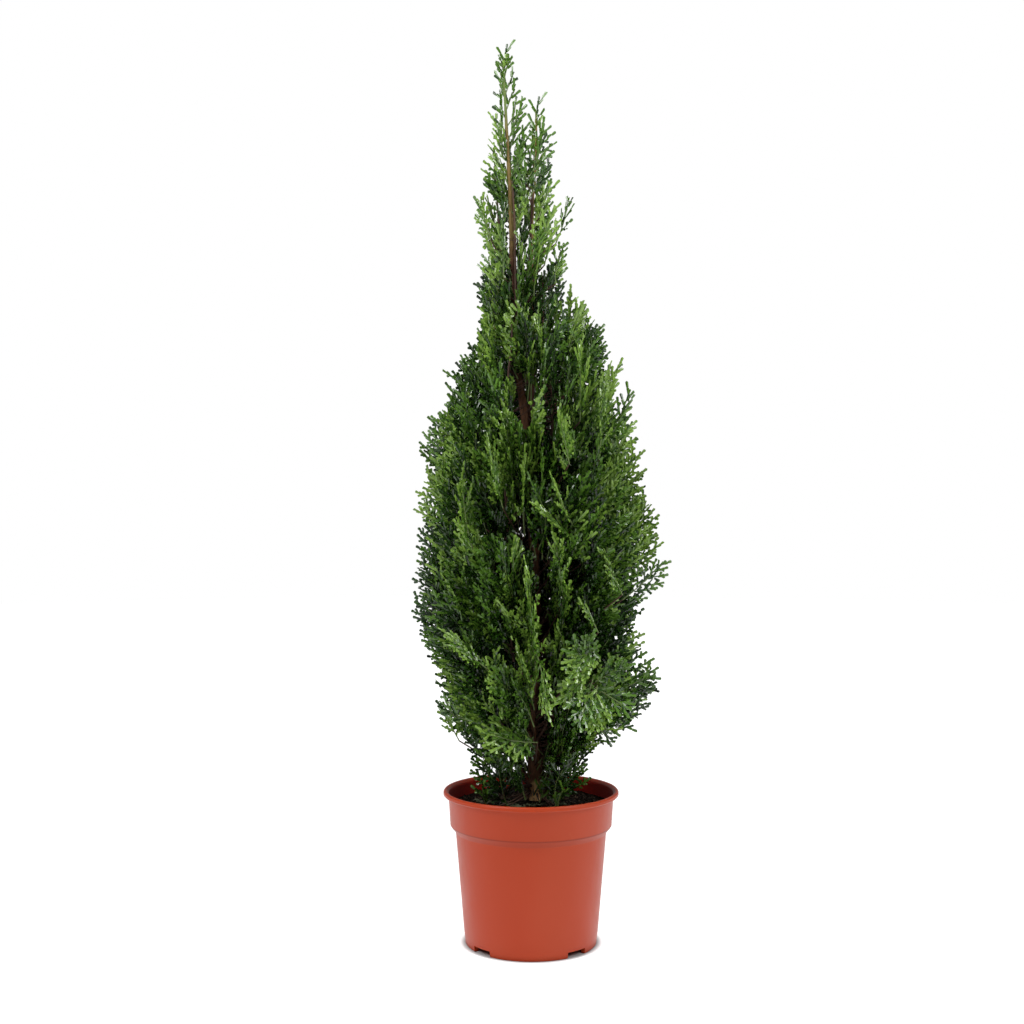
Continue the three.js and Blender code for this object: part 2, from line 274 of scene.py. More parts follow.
def plastic_finish(sizes):
    """Matt moulded plastic with faint flow marks, a fine grain and rubbed places, with painted shade on the
    slope under the band and on the wall inside.
    """
    made = Finish("terracotta plastic")
    flow = made.noise(9.0, 2.0, 0.5, made.stretched((1.0, 1.0, 0.35)))
    scuffs = made.noise(55.0, 4.0, 0.7, made.stretched((1.0, 1.0, 0.5)))
    dust = made.step(scuffs, 0.62, 0.80) * 0.30 + made.step(flow, 0.45, 0.75) * 0.22
    grain = made.noise(900.0, 2.0)
    height = made.along("Z")
    band, foot = sizes.height - BAND, sizes.height - SLOPE
    # The middle of the band's wall leans out by 2.3 mm over its 31 mm.
    middle = (height - band) * 0.074 + (sizes.rim_radius - 8.4 * MM)
    # Painted shade: from the band's lower edge up, the wall inside takes the darker inside colour.
    inside = 1.0 - made.step(made.from_axis() - middle, -0.3 * MM, 0.3 * MM)
    inside = inside * made.step(height, band - 1.0 * MM, band + 3.0 * MM)
    tint = made.blend(dust, sizes.plastic, sizes.worn)
    # The slope under the band is darkened with painted shade, most of all in a thin painted shadow along the
    # band's lower edge.
    slope = made.step(height, foot - 0.6 * MM, foot + 0.2 * MM)
    slope = slope * (1.0 - made.step(height, band, band + 1.0 * MM))
    edge = slope * made.step(height, band - 1.6 * MM, band - 0.8 * MM)
    tint = made.blend(slope * 0.24 + edge * 0.30, tint, sizes.grime)
    return made.done(
        Base_Color=made.blend(inside, tint, sizes.damp),
        Roughness=made.step(scuffs, 0.3, 0.8) * 0.10 + 0.36 + inside * 0.4,
        Normal=made.bump(grain + flow * 3.0, 0.00006, 0.35),
        Specular_IOR_Level=0.22,
    )


def compost_finish(sizes, name="moist compost"):
    """Dark crumbly peat with pale fibres."""
    made = Finish(name)
    lumps = made.noise(260.0, 5.0, 0.7)
    fibres = made.noise(420.0, 3.0, 0.6, made.stretched((1.0, 0.25, 1.0)))
    pale = made.step(fibres, 0.60, 0.72)
    return made.done(
        Base_Color=made.blend(pale, sizes.dark, sizes.light),
        Roughness=made.step(lumps, 0.3, 0.7) * 0.2 + 0.75,
        Normal=made.bump(lumps, 0.0012, 0.8),
        Specular_IOR_Level=0.06,
    )


def bark_finish(sizes, name, peeled=False, leader=False):
    """Fibrous brown bark in upright strips, which may have a bare patch at its foot, made paler with painted
    light, and a green tip.
    """
    made = Finish(name)
    strips = made.noise(95.0, 4.0, 0.65, made.stretched((1.0, 1.0, 0.14)))
    fibres = made.noise(420.0, 3.0, 0.6, made.stretched((1.0, 1.0, 0.10)))
    ridges = made.step(strips + fibres * 0.4, 0.62, 0.86)
    tint = made.blend(ridges, sizes.bark, sizes.ridge)
    height = made.along("Z")
    if peeled:
        # The bare patch faces the front, and ends about 20 mm above the compost. Its colour is paler than
        # bare wood, as painted light that lifts the shade of the leaves over it.
        across = made.along("X") - 3 * MM
        patch = 1.0 - made.step(across * across + strips * 0.00009, 0.00008, 0.00011)
        patch = patch * (1.0 - made.step(made.along("Y"), -4 * MM, 0.0))
        patch = patch * (1.0 - made.step(height + strips * 0.04, 0.190, 0.198))
        streaks = made.blend(made.step(fibres, 0.54, 0.72), sizes.peeled, sizes.ridge)
        tint = made.blend(patch, tint, streaks)
    if leader:
        # The bark is young from about 0.75 m up, and green from about 0.89 m.
        young = made.step(height + strips * 0.05, 0.758, 0.798)
        tint = made.blend(young, tint, sizes.young)
        tint = made.blend(made.step(height + strips * 0.03, 0.885, 0.925), tint, sizes.green_stem)
    return made.done(
        Base_Color=tint,
        Roughness=made.step(fibres, 0.3, 0.7) * 0.15 + 0.7,
        Normal=made.bump(strips + fibres * 0.5, 0.0009, 0.7),
        Specular_IOR_Level=0.3,
    )


def leaf_finish(name, tint, roughness=0.26):
    """One plain colour with a soft shine, for leaves in their spray's tint, twigs and dry bits."""
    return Finish(name).done(Base_Color=tint, Roughness=roughness, Specular_IOR_Level=0.55)


# ---------- Mesh helpers ----------


def new_piece(name, mesh, materials, replaced=()):
    """Puts a finished mesh in the scene as a piece of the plant."""
    piece = bpy.data.objects.new(name, mesh)
    bpy.context.scene.collection.objects.link(piece)
    for material in materials:
        mesh.materials.append(material)
    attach(piece, "root")
    if replaced:
        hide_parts(*replaced)
    return piece


def mesh_from_bmesh(name, shape, smooth_angle, flat_faces=False):
    """A smooth mesh from a bmesh, with its edges sharp where the faces turn by more than an angle.

    The operators can leave the faces in another order on each run, so the faces are sorted. Where all
    of them are flat, each one also starts at the corner with the lowest number."""
    shape.verts.index_update()
    faces = [[vert.index for vert in face.verts] for face in shape.faces]
    if flat_faces:
        firsts = [face.index(min(face)) for face in faces]
        faces = [face[first:] + face[:first] for face, first in zip(faces, firsts)]
    mesh = bpy.data.meshes.new(name)
    mesh.from_pydata([vert.co for vert in shape.verts], [], sorted(faces))
    shape.free()
    mesh.shade_smooth()
    mesh.set_sharp_from_angle(angle=math.radians(smooth_angle))
    return mesh


def mesh_from_arrays(name, points, faces, material_index=None, smooth=False):
    """A mesh from an array of points and an array of faces that all have the same corners."""
    corners = faces.shape[1]
    mesh = bpy.data.meshes.new(name)
    mesh.vertices.add(len(points))
    mesh.vertices.foreach_set("co", np.ascontiguousarray(points, np.float32).ravel())
    mesh.loops.add(faces.size)
    mesh.loops.foreach_set("vertex_index", np.ascontiguousarray(faces, np.int32).ravel())
    mesh.polygons.add(len(faces))
    mesh.polygons.foreach_set("loop_start", np.arange(0, faces.size, corners, dtype=np.int32))
    mesh.polygons.foreach_set("use_smooth", np.full(len(faces), smooth))
    if material_index is not None:
        mesh.polygons.foreach_set("material_index", np.ascontiguousarray(material_index, np.int32))
    mesh.update()
    mesh.validate()
    return mesh


def unit(vectors):
    """Vectors scaled to length 1."""
    size = np.linalg.norm(vectors, axis=-1, keepdims=True)
    return vectors / np.maximum(size, 1e-9)


def ring_edges(shape, verts):
    """Edges whose two ends are both among verts."""
    chosen = set(verts)
    return [edge for edge in shape.edges if edge.verts[0] in chosen and edge.verts[1] in chosen]


def turned(outline, steps, turn=0.0):
    """A bmesh that an outline of radii and heights in millimetres sweeps in a full turn about Z."""
    shape = bmesh.new()
    verts = [shape.verts.new((radius * MM, 0, height * MM)) for radius, height in outline]
    edges = [shape.edges.new(pair) for pair in zip(verts, verts[1:])]
    bmesh.ops.rotate(shape, verts=verts, cent=(0, 0, 0), matrix=Matrix.Rotation(turn, 3, "Z"))
    bmesh.ops.spin(
        shape, geom=verts + edges, cent=(0, 0, 0), axis=(0, 0, 1), angle=math.tau, steps=steps,
        use_merge=True,
    )
    bmesh.ops.remove_doubles(shape, verts=shape.verts, dist=0.02 * MM)
    return shape


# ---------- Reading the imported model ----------


def node_triangles(name):
    """Corners of a node's triangles, as an array of triangle, corner, axis."""
    mesh = frame["nodes"][name].data
    mesh.calc_loop_triangles()
    points = np.empty(len(mesh.vertices) * 3, np.float32)
    mesh.vertices.foreach_get("co", points)
    corners = np.empty(len(mesh.loop_triangles) * 3, np.int32)
    mesh.loop_triangles.foreach_get("vertices", corners)
    return points.reshape(-1, 3).astype(float)[corners].reshape(-1, 3, 3)


def faces_of(triangles):
    """Which way each triangle faces, and its area to a common scale."""
    cross = np.cross(triangles[:, 1] - triangles[:, 0], triangles[:, 2] - triangles[:, 0])
    return unit(cross), np.linalg.norm(cross, axis=1)


def point_on_each(triangles, rng):
    """A random point on each of some triangles."""
    a, b = np.sqrt(rng.random(len(triangles))), rng.random(len(triangles))
    shares = np.stack([1 - a, a * (1 - b), a * b], 1)
    return (triangles * shares[:, :, None]).sum(1)


def level_cut(triangles, height):
    """Middle and mean radius of the outline that a level plane cuts from some triangles."""
    cuts = []
    for first, second in ((0, 1), (1, 2), (2, 0)):
        a, b = triangles[:, first], triangles[:, second]
        crossing = (a[:, 2] - height) * (b[:, 2] - height) < 0
        a, b = a[crossing], b[crossing]
        share = (height - a[:, 2]) / (b[:, 2] - a[:, 2])
        cuts.append(a + (b - a) * share[:, None])
    cuts = np.concatenate(cuts)
    if not len(cuts):
        return None
    middle = (cuts.min(0) + cuts.max(0)) / 2
    middle[2] = height
    return middle, np.linalg.norm(cuts[:, :2] - middle[:2], axis=1).mean()


def limb_line(name, count, low=0.02, high=0.98):
    """Points and radii up the middle of an upright limb or plume."""
    triangles = node_triangles(name)
    bottom, top = triangles[:, :, 2].min(), triangles[:, :, 2].max()
    heights = bottom + (top - bottom) * np.linspace(low, high, count)
    found = [level_cut(triangles, height) for height in heights]
    found = [cut for cut in found if cut is not None]
    return np.array([cut[0] for cut in found]), np.array([cut[1] for cut in found])


# The middle of the crown in X at some heights, in metres.
CROWN_MIDDLE = ((0.20, 0.0), (0.24, 0.010), (0.28, 0.020), (0.33, 0.005), (0.40, 0.006), (0.43, 0.012),
                (0.50, 0.002), (0.55, -0.004), (0.60, 0.006), (0.66, 0.006), (0.70, -0.010), (0.80, -0.016),
                (0.92, -0.024), (0.975, -0.030))
# Height in metres, and the middle and half width of the gap at the front in millimetres.
SLOT_MIDDLE = ((0.15, 3), (0.20, 4), (0.24, 6), (0.30, 10), (0.35, 12), (0.40, 12), (0.42, 8), (0.43, -6),
               (0.465, -10), (0.50, -9), (0.60, -9), (0.62, -18), (0.70, -19), (0.80, -21), (0.87, -26))
SLOT_HALF = ((0.15, 14), (0.20, 13), (0.24, 9), (0.30, 6), (0.34, 5), (0.37, 7), (0.41, 6), (0.425, 5),
             (0.455, 8), (0.467, 2), (0.475, 0), (0.55, 0), (0.56, 8), (0.60, 10), (0.612, 6), (0.622, 2),
             (0.69, 1.5), (0.74, 3), (0.79, 3.5), (0.86, 3.5), (0.89, 0))
# Chinks right through the crown, as X and Z in millimetres of the place where the front view sees them.
CHINKS = ((1, 600), (1, 590), (2, 581), (2, 615), (-37, 692), (-36, 681), (-45, 735), (-51, 758), (-50, 750),
          (22, 778), (2, 782), (-12, 449), (-15, 443), (-8, 441), (-50, 442), (-15, 400), (-12, 374),
          (22, 340), (19, 372), (-9, 341), (-21, 192), (-18, 187), (-24, 197), (-40, 187), (-30, 203),
          (-53, 198), (30, 187), (20, 194), (29, 213), (-58, 630), (-66, 640), (60, 605), (92, 330))
CHINK_RADIUS = 2.7  # millimetres
# Dark hollows between the sprays at the front: X, Z, half width and half height in millimetres.
HOLLOWS = ((-32, 480, 7, 15), (-46, 449, 12, 8), (46, 515, 7, 11), (50, 400, 11, 17), (59, 355, 8, 12),
           (-31, 405, 13, 10), (-24, 314, 9, 16), (44, 645, 6, 15), (1, 692, 5, 9), (51, 564, 8, 13),
           (23, 262, 6, 52), (-56, 560, 5, 22), (-30, 232, 9, 10), (-78, 400, 6, 18), (86, 470, 6, 20))


def crown_middle(height):
    """Middle of the crown in X at some height."""
    return np.interp(height, *zip(*CROWN_MIDDLE))


def climb_angle(height):
    """How steeply the sprays' axes stand at some height, in degrees above level."""
    return np.interp(height, (0.16, 0.25, 0.35, 0.50, 0.65, 0.90), (60, 46, 54, 66, 73, 77))


def in_slot(points):
    """Which points lie in the dark upright gap at the front, where the trunk shows."""
    middle = np.interp(points[:, 2], *zip(*SLOT_MIDDLE)) * MM
    half = np.interp(points[:, 2], *zip(*SLOT_HALF)) * MM
    wander = 3 * MM * np.sin(points[:, 2] * 150) * (points[:, 2] < 0.7)
    return (np.abs(points[:, 0] - middle - wander) < half) & (points[:, 1] < 0.004)


def seen_at(points, eye):
    """X and Z in millimetres of the places where the front view sees some points."""
    share = -eye[1] / (points[:, 1] - eye[1])
    return (eye[[0, 2]] + (points[:, [0, 2]] - eye[[0, 2]]) * share[:, None]) / MM


def in_chink(points, eye):
    """Which points lie in one of the crown's chinks."""
    apart = np.linalg.norm(seen_at(points, eye)[:, None] - np.array(CHINKS)[None], axis=2)
    return apart.min(1) < CHINK_RADIUS


def in_hollow(points, eye):
    """Which points lie in the outer part of one of the dark hollows."""
    hollows = np.array(HOLLOWS, float)
    apart = (seen_at(points, eye)[:, None] - hollows[None, :, :2]) / hollows[None, :, 2:]
    return (np.linalg.norm(apart, axis=2).min(1) < 1.0) & (points[:, 1] < -45 * MM)


def outside(points):
    """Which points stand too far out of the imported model's box."""
    low, high = np.array(CAD_BOX) + [[-ALLOWANCE], [ALLOWANCE]]
    return ((points < low) | (points > high)).any(1)


# ---------- Stage ----------


class THUJA_OT_stage(bpy.types.Operator):
    """Set up the camera, the pale floor and the soft light of a studio"""

    bl_idname = "thuja.stage"
    bl_label = "Stage"

    def execute(self, context):
        sizes = context.scene.thuja_stage
        camera = bpy.data.cameras.new("camera")
        camera.lens, camera.sensor_width = sizes.lens, 36.0
        camera.clip_start = 0.05
        eye = bpy.data.objects.new("camera", camera)
        eye.location = (sizes.eye_offset, -sizes.eye_distance, sizes.eye_height)
        eye.rotation_euler = (math.radians(90), 0, 0)
        context.scene.collection.objects.link(eye)
        context.scene.camera = eye
        context.scene.view_settings.view_transform = "Standard"

        shape = bmesh.new()
        bmesh.ops.create_circle(shape, cap_ends=True, segments=96, radius=6.0)
        floor = bpy.data.objects.new("floor", mesh_from_bmesh("floor", shape, 35.0))
        made = Finish("pale floor")
        # The floor glows, which is painted light: as white as the room far off, less within about 0.4 m of
        # the pot, more again close round its foot where the glow lifts the pot's shadow, and not at all under
        # it.
        away = made.from_axis()
        glow = made.blend(made.step(away, 0.08, 0.40), (0.95, 0.95, 0.95), (0.68, 0.68, 0.68))
        glow = made.blend(made.step(away, 0.4, 2.5), glow, (1.0, 1.0, 1.0))
        glow = made.blend(made.step(away, 0.070, 0.080), (0.0, 0.0, 0.0), glow)
        matt = {"Roughness": 0.9, "Specular_IOR_Level": 0.1, "Emission_Strength": 1.0}
        floor.data.materials.append(made.done(Base_Color=sizes.floor, Emission_Color=glow, **matt))
        context.scene.collection.objects.link(floor)

        world = bpy.data.worlds.new("studio")
        world.use_nodes = True
        context.scene.world = world
        made = Nodes(world.node_tree)
        # The room is darker behind the camera, so that the pot's sides shine more than its front.
        direction = made.node("ShaderNodeTexCoord", output="Generated")
        back = made.step(made.node("ShaderNodeSeparateXYZ", None, {"Vector": direction}, "Y"), -0.9, 0.3)
        strength = back * (sizes.sky * 0.64) + sizes.sky * 0.36
        room = made.node("ShaderNodeBackground", None, {"Color": (0.97, 0.98, 1.0), "Strength": strength})
        seen = made.node("ShaderNodeBackground", None, {"Color": (1.0, 1.0, 1.0), "Strength": 1.0})
        camera_ray = made.node("ShaderNodeLightPath", output="Is Camera Ray")
        mix = made.node("ShaderNodeMixShader", None, {0: camera_ray, 1: room, 2: seen})
        plug(made.tree, made.tree.nodes["World Output"].inputs["Surface"], mix)

        # Name, place, point it faces, size and power of each softbox.
        boxes = (
            ("softbox_left", (-1.35, -1.05, 1.8), (0.0, 0.0, 0.45), 0.8, 32.5),
            ("softbox_right", (1.45, -0.95, 1.6), (0.0, 0.0, 0.45), 0.8, 26.0),
            ("softbox_top", (0.0, -0.3, 2.4), (0.0, 0.0, 0.4), 1.0, 34.5),
        )
        for name, place, target, size, power in boxes:
            light = bpy.data.lights.new(name, "AREA")
            light.shape, light.size, light.energy = "SQUARE", size, power
            lamp = bpy.data.objects.new(name, light)
            lamp.location = place
            lamp.rotation_euler = (Vector(target) - Vector(place)).to_track_quat("-Z", "Y").to_euler()
            context.scene.collection.objects.link(lamp)
        return {"FINISHED"}


# ---------- Pot ----------


class THUJA_OT_pot(bpy.types.Operator):
    """Mould the pot, with its rolled lip, stepped band, notched foot and drain holes"""

    bl_idname = "thuja.pot"
    bl_label = "Pot"

    steps = 144
    foot_height = 6.3 * MM
    notch_half = 4  # steps from the middle of a notch to its side
    first_notch = 42.0  # azimuth of the first notch's middle, in degrees
    ring_inside = 65.5 * MM  # radius of the foot ring's inner side
    drain_middle, drain_radius = 52 * MM, 5 * MM

    def profile(self, sizes):
        """The wall's cross-section, from the middle of the underside round to the middle of the floor."""
        high, rim, wall = sizes.height / MM, sizes.rim_radius / MM, sizes.wall / MM
        return [
            (0, 0), (28, 0), (30, 0.6), (31.4, 6.2), (33, 6.5), (47, 6.5), (49.5, 6.5), (52, 6.5),
            (54.5, 6.5), (57, 6.5), (65.2, 6.5), (66, 6.3), (66.1, 0), (70.5, 0), (71.1, 0.8),
            (71.68, 6.3), (72.2, 11.6), (72.45, 12.3), (81.6, 119.6), (82.1, 121.2), (86.6, 126.6),
            (87.5, 128.0), (rim - 5.6, high - 6.2), (rim - 5.2, high - 5.6), (rim - 1.2, high - 5.5),
            (rim, high - 4.2), (rim - 0.1, high - 1.6), (rim - 1.1, high - 0.3), (rim - 2.4, high),
            (rim - 3.6, high - 0.4), (rim - 5.6, high - 2.4), (rim - 6.6 - 0.6, high - 5.6),
            (87.5 - wall, 128.6), (86.4 - wall, 127.0), (82.0 - wall, 121.8), (81.4 - wall, 119.6),
            (72.1 - wall, 10), (71.2 - wall, 8.6), (57, 8.5), (54.5, 8.5), (52, 8.5), (49.5, 8.5),
            (47, 8.5), (30, 8.5), (27, 2.2), (0, 2),
        ]

    def cut_notch(self, shape, azimuth):
        """Opens the foot ring under one stretch, and closes the wall above and beside the opening."""
        half = math.radians(360 / self.steps * (self.notch_half + 0.4))

        def within(vert):
            turn = math.atan2(vert.co.y, vert.co.x) - azimuth
            return abs((turn + math.pi) % math.tau - math.pi) < half

        def in_foot(vert):
            low = vert.co.z < self.foot_height + 0.01 * MM
            return low and vert.co.xy.length > self.ring_inside and within(vert)

        def under_wall(vert):
            return abs(vert.co.z - self.foot_height) < 0.02 * MM and within(vert)

        gone = [face for face in shape.faces if all(map(in_foot, face.verts))]
        bmesh.ops.delete(shape, geom=gone, context="FACES")
        ceiling = [edge for edge in shape.edges if edge.is_boundary and all(map(under_wall, edge.verts))]
        bmesh.ops.bridge_loops(shape, edges=ceiling)
        sides = [edge for edge in shape.edges if edge.is_boundary and all(map(within, edge.verts))]
        bmesh.ops.holes_fill(shape, edges=sides, sides=0)

    def cut_drain(self, shape, azimuth):
        """Opens a round drain hole through the floor."""
        middle = Vector((math.cos(azimuth), math.sin(azimuth))) * self.drain_middle

        def in_hole(face):
            place = face.calc_center_median()
            return 6.4 * MM < place.z < 8.6 * MM and (place.xy - middle).length < 5.6 * MM

        def at_hole(vert):
            return (vert.co.xy - middle).length < 9 * MM

        bmesh.ops.delete(shape, geom=[face for face in shape.faces if in_hole(face)], context="FACES")
        rim = [edge for edge in shape.edges if edge.is_boundary and all(map(at_hole, edge.verts))]
        for vert in {vert for edge in rim for vert in edge.verts}:
            vert.co.xy = middle + (vert.co.xy - middle).normalized() * self.drain_radius
        bmesh.ops.bridge_loops(shape, edges=rim)

    def execute(self, context):
        sizes = context.scene.thuja_pot
        start = math.radians(self.first_notch % (360 / self.steps))
        shape = turned(self.profile(sizes), self.steps, start)
        for quarter in range(4):
            azimuth = math.radians(self.first_notch + 90 * quarter)
            self.cut_notch(shape, azimuth)
            self.cut_drain(shape, azimuth)
        bmesh.ops.recalc_face_normals(shape, faces=shape.faces)
        if any(edge.is_boundary for edge in shape.edges):
            raise RuntimeError("the pot's wall has an open edge")
        mesh = mesh_from_bmesh("pot_moulding", shape, 32.0, flat_faces=True)
        piece = new_piece("pot_moulding", mesh, [plastic_finish(sizes)], ["pot"])
        bevel = piece.modifiers.new("edges", "BEVEL")
        bevel.width, bevel.segments, bevel.limit_method = 0.35 * MM, 2, "ANGLE"
        bevel.angle_limit = math.radians(50)
        return {"FINISHED"}


# ---------- Compost ----------


class THUJA_OT_compost(bpy.types.Operator):
    """Fill the pot with compost, and scatter crumbs, chips and dry leaves on it"""

    bl_idname = "thuja.compost"
    bl_label = "Compost"

    top_rings, steps = 34, 110
    rim_radius, rim_height = 86.6, 147  # of the fill's upper edge, in millimetres

    def surface_height(self, x, y):
        """Height of the uneven surface at a point."""
        place = Vector((x, y, 0.0)) * 38.0
        lumps = noise.fractal(place, 0.8, 2.0, 4) * 1.3 * MM
        mound = 1.6 * MM * math.exp(-((math.hypot(x, y) / (34 * MM)) ** 2))
        return COMPOST_TOP - 2.2 * MM + mound + lumps

    def execute(self, context):
        sizes = context.scene.thuja_compost
        outline = [(0, 2.4), (27.4, 2.4), (29.6, 8.9), (69.4, 8.9), (79.2, 122), (85.3, 128.4)]
        outline.append((self.rim_radius, self.rim_height))
        for ring in range(1, self.top_rings + 1):
            outline.append((self.rim_radius * (1 - ring / self.top_rings), self.rim_height + 1))
        shape = turned(outline, self.steps)
        bmesh.ops.recalc_face_normals(shape, faces=shape.faces)
        for vert in shape.verts:
            if vert.co.z > (self.rim_height - 1) * MM:
                vert.co.z = self.surface_height(vert.co.x, vert.co.y)
        mesh = mesh_from_bmesh("compost_fill", shape, 180.0)
        new_piece("compost_fill", mesh, [compost_finish(sizes)], ["compost"])
        self.scatter_crumbs(sizes)
        return {"FINISHED"}

    def scatter_crumbs(self, sizes):
        """Loose crumbs and chips, each an uneven lump of eight faces."""
        rng = np.random.default_rng(5)
        count = sizes.crumbs
        corners = np.array([(1, 0, 0), (-1, 0, 0), (0, 1, 0), (0, -1, 0), (0, 0, 1), (0, 0, -1)], float)
        sides = np.array(
            [(0, 2, 4), (2, 1, 4), (1, 3, 4), (3, 0, 4), (2, 0, 5), (1, 2, 5), (3, 1, 5), (0, 3, 5)]
        )
        kind = rng.choice(3, count, p=(0.76, 0.17, 0.07))  # crumb, fibre or chip, dry leaf
        size = sizes.crumb_size * rng.uniform(0.12, 0.5, count) * np.where(kind == 0, 1.0, 0.75)
        stretch = np.stack([rng.uniform(0.8, 1.3, count), rng.uniform(0.6, 1.0, count),
                            rng.uniform(0.5, 0.9, count)], 1)
        stretch[kind > 0] *= (3.2, 0.45, 0.4)
        radius = 85 * MM * np.sqrt(rng.uniform(0.0, 1.0, count))
        turn = rng.uniform(0, math.tau, count)
        x, y = radius * np.cos(turn), radius * np.sin(turn)
        z = np.array([self.surface_height(a, b) for a, b in zip(x, y)]) + size * 0.3
        yaw, pitch = rng.uniform(0, math.tau, count), rng.normal(0, 0.25, count)
        along = np.stack([np.cos(yaw) * np.cos(pitch), np.sin(yaw) * np.cos(pitch), np.sin(pitch)], 1)
        side = unit(np.cross(UP, along))
        axes = np.stack([along, side, np.cross(along, side)], 1)
        local = corners[None] * (1 + rng.normal(0, 0.16, (count, 6, 1))) * (stretch * size[:, None])[:, None]
        points = np.einsum("kij,kjl->kil", local, axes) + np.stack([x, y, z], 1)[:, None]
        faces = sides[None] + (np.arange(count) * 6)[:, None, None]
        mesh = mesh_from_arrays(
            "compost_crumbs", points.reshape(-1, 3), faces.reshape(-1, 3), np.repeat(kind, 8)
        )
        materials = [
            compost_finish(sizes, "peat crumbs"),
            leaf_finish("dry fibres", sizes.light, 0.85),
            leaf_finish("dry leaves", (0.10, 0.053, 0.022), 0.8),
        ]
        new_piece("compost_crumbs", mesh, materials)


# ---------- Wood ----------


def add_limb(shape, line, radii, sides, relief, seed):
    """Extrudes a limb ring by ring up a line of points, with strips of bark standing out of it."""
    round_limb, up_limb = 2.6, 26.0  # how finely the strips change round the limb and up it
    ring = bmesh.ops.create_circle(shape, cap_ends=True, segments=sides, radius=1.0)["verts"]
    for index, (place, radius) in enumerate(zip(line, radii)):
        if index:
            grown = bmesh.ops.extrude_edge_only(shape, edges=ring_edges(shape, ring))
            ring = [item for item in grown["geom"] if isinstance(item, bmesh.types.BMVert)]
            centre = Vector(line[index - 1])
        else:
            centre = Vector((0, 0, 0))
        for vert in ring:
            flat = vert.co - centre
            angle = math.atan2(flat.y, flat.x)
            across, back = math.cos(angle), math.sin(angle)
            spot = Vector((across * round_limb + seed, back * round_limb, place[2] * up_limb))
            ridge = noise.fractal(spot, 0.7, 2.1, 3)
            reach = radius + relief * ridge * min(1.0, radius / 0.005)
            vert.co = Vector(place) + Vector((across, back, 0)) * reach
    bmesh.ops.contextual_create(shape, geom=ring_edges(shape, ring))


class THUJA_OT_wood(bpy.types.Operator):
    """Grow the trunk, the second leader, the low stems and the boughs, with their bark"""

    bl_idname = "thuja.wood"
    bl_label = "Trunk and Boughs"

    def limb_mesh(self, name, nodes, step, sides, relief):
        """The bark of some limbs, with a ring at each step up them."""
        shape = bmesh.new()
        for number, node in enumerate(nodes):
            low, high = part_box(node)
            count = max(4, int((high.z - low.z) / step))
            line, radii = limb_line(node, count, 0.004, 0.996)
            # The foot goes down into the piece that it grows from.
            line = np.concatenate([line[:1] - (line[1] - line[0]) / step * 2 * MM, line])
            radii = np.concatenate([radii[:1], radii])
            add_limb(shape, line, radii, sides, relief, number * 7.3)
        bmesh.ops.recalc_face_normals(shape, faces=shape.faces)
        return mesh_from_bmesh(name, shape, 180.0)

    def execute(self, context):
        sizes = context.scene.thuja_wood
        limbs = {
            "trunk_bark": (["trunk"], 3.2 * MM, 36, sizes.relief),
            "second_leader_bark": (["second_leader"], 5 * MM, 14, sizes.relief * 0.4),
            "low_stem_bark": (["low_stem_left", "low_stem_right"], 4 * MM, 16, sizes.relief * 0.5),
            "bough_bark": ([n for n in sorted(SLOT_OF) if "bough" in n], 4 * MM, 12, sizes.relief * 0.4),
        }
        finishes = {
            "trunk_bark": bark_finish(sizes, "trunk bark", peeled=True, leader=True),
            "second_leader_bark": bark_finish(sizes, "leader bark", leader=True),
        }
        plain = bark_finish(sizes, "bough bark")
        for name, (nodes, step, sides, relief) in limbs.items():
            mesh = self.limb_mesh(name, nodes, step, sides, relief)
            new_piece(name, mesh, [finishes.get(name, plain)], nodes)
        return {"FINISHED"}


# ---------- Foliage ----------


DEEP, MIDDLE, FRESH, BRIGHT = range(4)  # a spray's older leaves have one tint, its tips the next
WOODY, GREEN = range(2)  # tints of the twigs


class Form(NamedTuple):
    """The habit of one kind of fan, with its lengths in millimetres."""

    gap: float  # between side branches
    reach: float  # of the side branches, as a share of the fan's length
    joint: float  # between fingers
    finger: float  # the longest finger
    last: float  # the finger at the end of a branch
    lean: float  # of the lowest branch from the axis, in degrees
    spans: tuple  # the shortest and the longest fan as shares of the full length, and how many
    breadth: float = 1.0  # of its leaves, as a share of the usual


FORMS = {
    "full": Form(4.8, 0.46, 3.7, 10, 9.5, 53, (0.42, 1.24, 16)),
    "open": Form(6.4, 0.40, 5.4, 10, 11.5, 46, (0.36, 1.0, 9)),
    "sparse": Form(8.0, 0.26, 11, 10, 13, 38, (0.2, 0.6, 7)),
    "broad": Form(4.6, 0.50, 3.9, 9.5, 9, 58, (0.36, 1.0, 8), 1.12),
    "steep": Form(5.2, 0.34, 4.7, 10, 12, 36, (0.36, 1.0, 10)),
    "leader": Form(7.5, 0.05, 11, 10, 16, 32, (0.22, 0.66, 8)),
}


